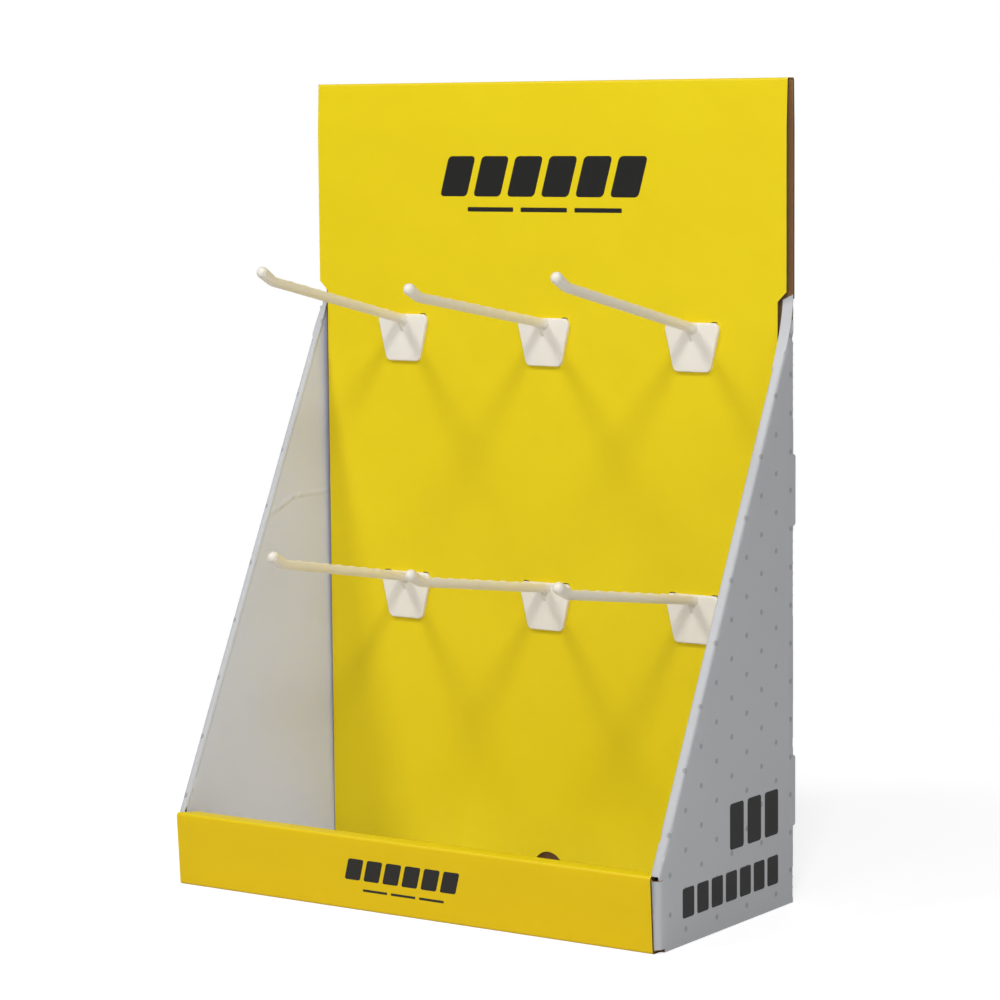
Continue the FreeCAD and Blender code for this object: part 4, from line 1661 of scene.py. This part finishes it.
@dataclass
class Studio:
    """Pale floor, soft lamps and the camera."""

    camera_place: tuple[float, float, float] = (1.0705, -1.5557, 0.4318)
    yaw: float = 34.137
    pitch: float = -6.368
    roll: float = -0.496
    lens: float = 123.7
    ambient: float = 0.15
    floor_radius: float = 12000.0
    floor_drop: float = 0.05
    fade_start: float = 0.22
    fade_end: float = 0.6
    paper: str = "D8D8D8"
    paper_lift: float = 0.62
    soft_boxes: tuple[SoftBox, ...] = (
        SoftBox("soft_box_left", (-0.95, -1.35, 2.1), 0.5, 23.0),
        SoftBox("soft_box_right", (1.0, -1.35, 2.05), 0.5, 22.0),
        SoftBox("soft_box_front", (0.3, -2.6, 0.9), 1.4, 10.0),
        SoftBox("soft_box_back", (-0.6, 2.6, 1.3), 1.8, 12.0),
        SoftBox("soft_box_side", (2.6, -1.2, 0.8), 1.8, 11.0),
    )

    def camera(self) -> None:
        """A camera with its view given by yaw to the left, pitch and roll in degrees."""
        yaw, pitch, roll = (math.radians(a) for a in (self.yaw, self.pitch, self.roll))
        ahead = Vector((-math.sin(yaw) * math.cos(pitch), math.cos(yaw) * math.cos(pitch), math.sin(pitch)))
        level = Vector((math.cos(yaw), math.sin(yaw), 0.0))
        upright = level.cross(ahead)
        right = level * math.cos(roll) + upright * math.sin(roll)
        up = upright * math.cos(roll) - level * math.sin(roll)
        data = bpy.data.cameras.new("camera")
        data.lens = self.lens
        data.clip_end = 50.0
        camera = bpy.data.objects.new("camera", data)
        turned = Matrix((right, up, -ahead)).transposed().to_4x4()
        camera.matrix_world = Matrix.Translation(self.camera_place) @ turned
        bpy.context.scene.collection.objects.link(camera)
        bpy.context.scene.camera = camera

    def world(self) -> None:
        """A dim white world for the light, which camera and transmission rays see at full white."""
        world = bpy.data.worlds.new("studio")
        world.use_nodes = True
        tree = world.node_tree
        rays = [add_node(tree, "LightPath", out=f"Is {kind} Ray") for kind in ("Camera", "Transmission")]
        seen = add_node(tree, "Math", *rays, operation="MAXIMUM")
        strength = add_node(tree, "Math", seen, 1.0 - self.ambient, self.ambient, operation="MULTIPLY_ADD")
        background = tree.nodes["Background"]
        background.inputs["Color"].default_value = srgb("FFFFFF")
        tree.links.new(strength, background.inputs["Strength"])
        bpy.context.scene.world = world

    def floor(self) -> None:
        """A wide disc of white studio paper, whose shadow fades into plain white far out."""
        angle = np.linspace(0, 2 * math.pi, 65)[:-1]
        ring = np.stack([np.cos(angle), np.sin(angle), np.zeros(64)], 1) * self.floor_radius
        floor = make_mesh("floor", ring - (0.0, 0.0, self.floor_drop), np.arange(64)[None])
        floor.data.materials.append(self.studio_paper())

    def studio_paper(self) -> bpy.types.Material:
        """Matt white paper that the camera sees lifted to white, and plain white past the fade.

        Returns:
            The material.
        """
        material, tree, shader = Finish("white studio paper", 0.9, specular=0.0).start()
        shader.inputs["Base Color"].default_value = srgb(self.paper)
        grain = add_node(tree, "TexNoise", Scale=900.0, Detail=2.0)
        bump = add_node(tree, "Bump", Strength=0.05, Distance=0.2 * MM, Height=grain)
        tree.links.new(bump, shader.inputs["Normal"])
        where = add_node(tree, "TexCoord", out="Object")
        far = add_node(tree, "VectorMath", where, operation="LENGTH", out="Value")
        ends = {"From_Min": self.fade_start, "From_Max": self.fade_end}
        fade = add_node(tree, "MapRange", far, interpolation_type="SMOOTHSTEP", **ends)
        lift = add_node(tree, "Emission", srgb("FFFFFF"), self.paper_lift)
        near_floor = add_node(tree, "AddShader", shader.outputs[0], lift)
        white = add_node(tree, "Emission", srgb("FFFFFF"), 1.0)
        seen = add_node(tree, "MixShader", fade, near_floor, white)
        camera_ray = add_node(tree, "LightPath", out="Is Camera Ray")
        both = add_node(tree, "MixShader", camera_ray, shader.outputs[0], seen)
        tree.links.new(both, tree.nodes["Material Output"].inputs["Surface"])
        return material

    def build(self) -> None:
        """Sets up the whole studio."""
        self.camera()
        self.world()
        self.floor()
        for soft_box in self.soft_boxes:
            soft_box.build()
        bpy.context.scene.view_settings.view_transform = "Standard"


def make_finishes(wrinkle: tuple[Point, ...]) -> dict[BoardFace, bpy.types.Material]:
    """Makes the board's materials.

    Args:
        wrinkle: where the inner wall's brightened white liner is creased, in print coordinates.

    Returns:
        One material for each kind of face.
    """
    yellow = PrintedLiner("yellow varnished litho paper", 0.42, colour="EFD616", mottle="EBD013")
    deep = PrintedLiner("deep yellow varnished litho paper", 0.42, colour="EECB0C", mottle="EAC60A")
    dots = {"dots": "AAABAE", "dot_origin": (179.4, 71.2)}
    dotted = PrintedLiner("dotted grey-white litho paper", 0.42, colour="CACBCE", mottle="C6C7CA", **dots)
    # painted light: the same white paper as the sides, brighter and bluer, for the inner wall and the tray floor's
    # reverse
    brightened_white = PrintedLiner("plain white litho paper", 0.42, colour="DEE3FA", mottle="DADFF7", wrinkle=wrinkle)
    return {
        BoardFace.YELLOW: yellow.make(),
        BoardFace.LIP: deep.make(),
        BoardFace.DOTTED: dotted.make(),
        BoardFace.PLAIN: brightened_white.make(),
        BoardFace.INK: PrintingInk("black offset ink", 0.38).make(),
        BoardFace.KRAFT: KraftLiner("brown kraft liner", 0.85).make(),
        BoardFace.CUT: CutFlutes("die-cut flute edge", 0.9).make(),
    }


def main() -> None:
    """Builds the stand's pieces and the studio in order."""
    logging.basicConfig(level=logging.INFO)
    left, right = SideWall(-1, 4.6), SideWall(1, 6.0)
    wrinkle = ((12.0, 203.1), (24.5, 206.8), (35.4, 211.3), (42.6, 211.7), (67.0, 211.5))
    finishes = make_finishes(tuple(left.printed_inner(y, z) for y, z in wrinkle))
    log.info("strip: %s", LongStrip().build(finishes).name)
    for side in (left, right):
        log.info("side: %s", side.build(finishes).name)
    for nose in (SideNose(-1, 4.6, 326.0, 330.0, 4.0, 2.4), SideNose(1, 6.0, 334.8, 332.0, 0.0, 0.0)):
        log.info("nose: %s", nose.build(finishes[BoardFace.DOTTED]).name)
    for hook in HookSet(MouldedPlastic("moulded ivory polypropylene", 0.34, 1.49).make()).build():
        log.info("hook: %s", hook.name)
    Studio().build()


if __name__ == "__main__":
    main()
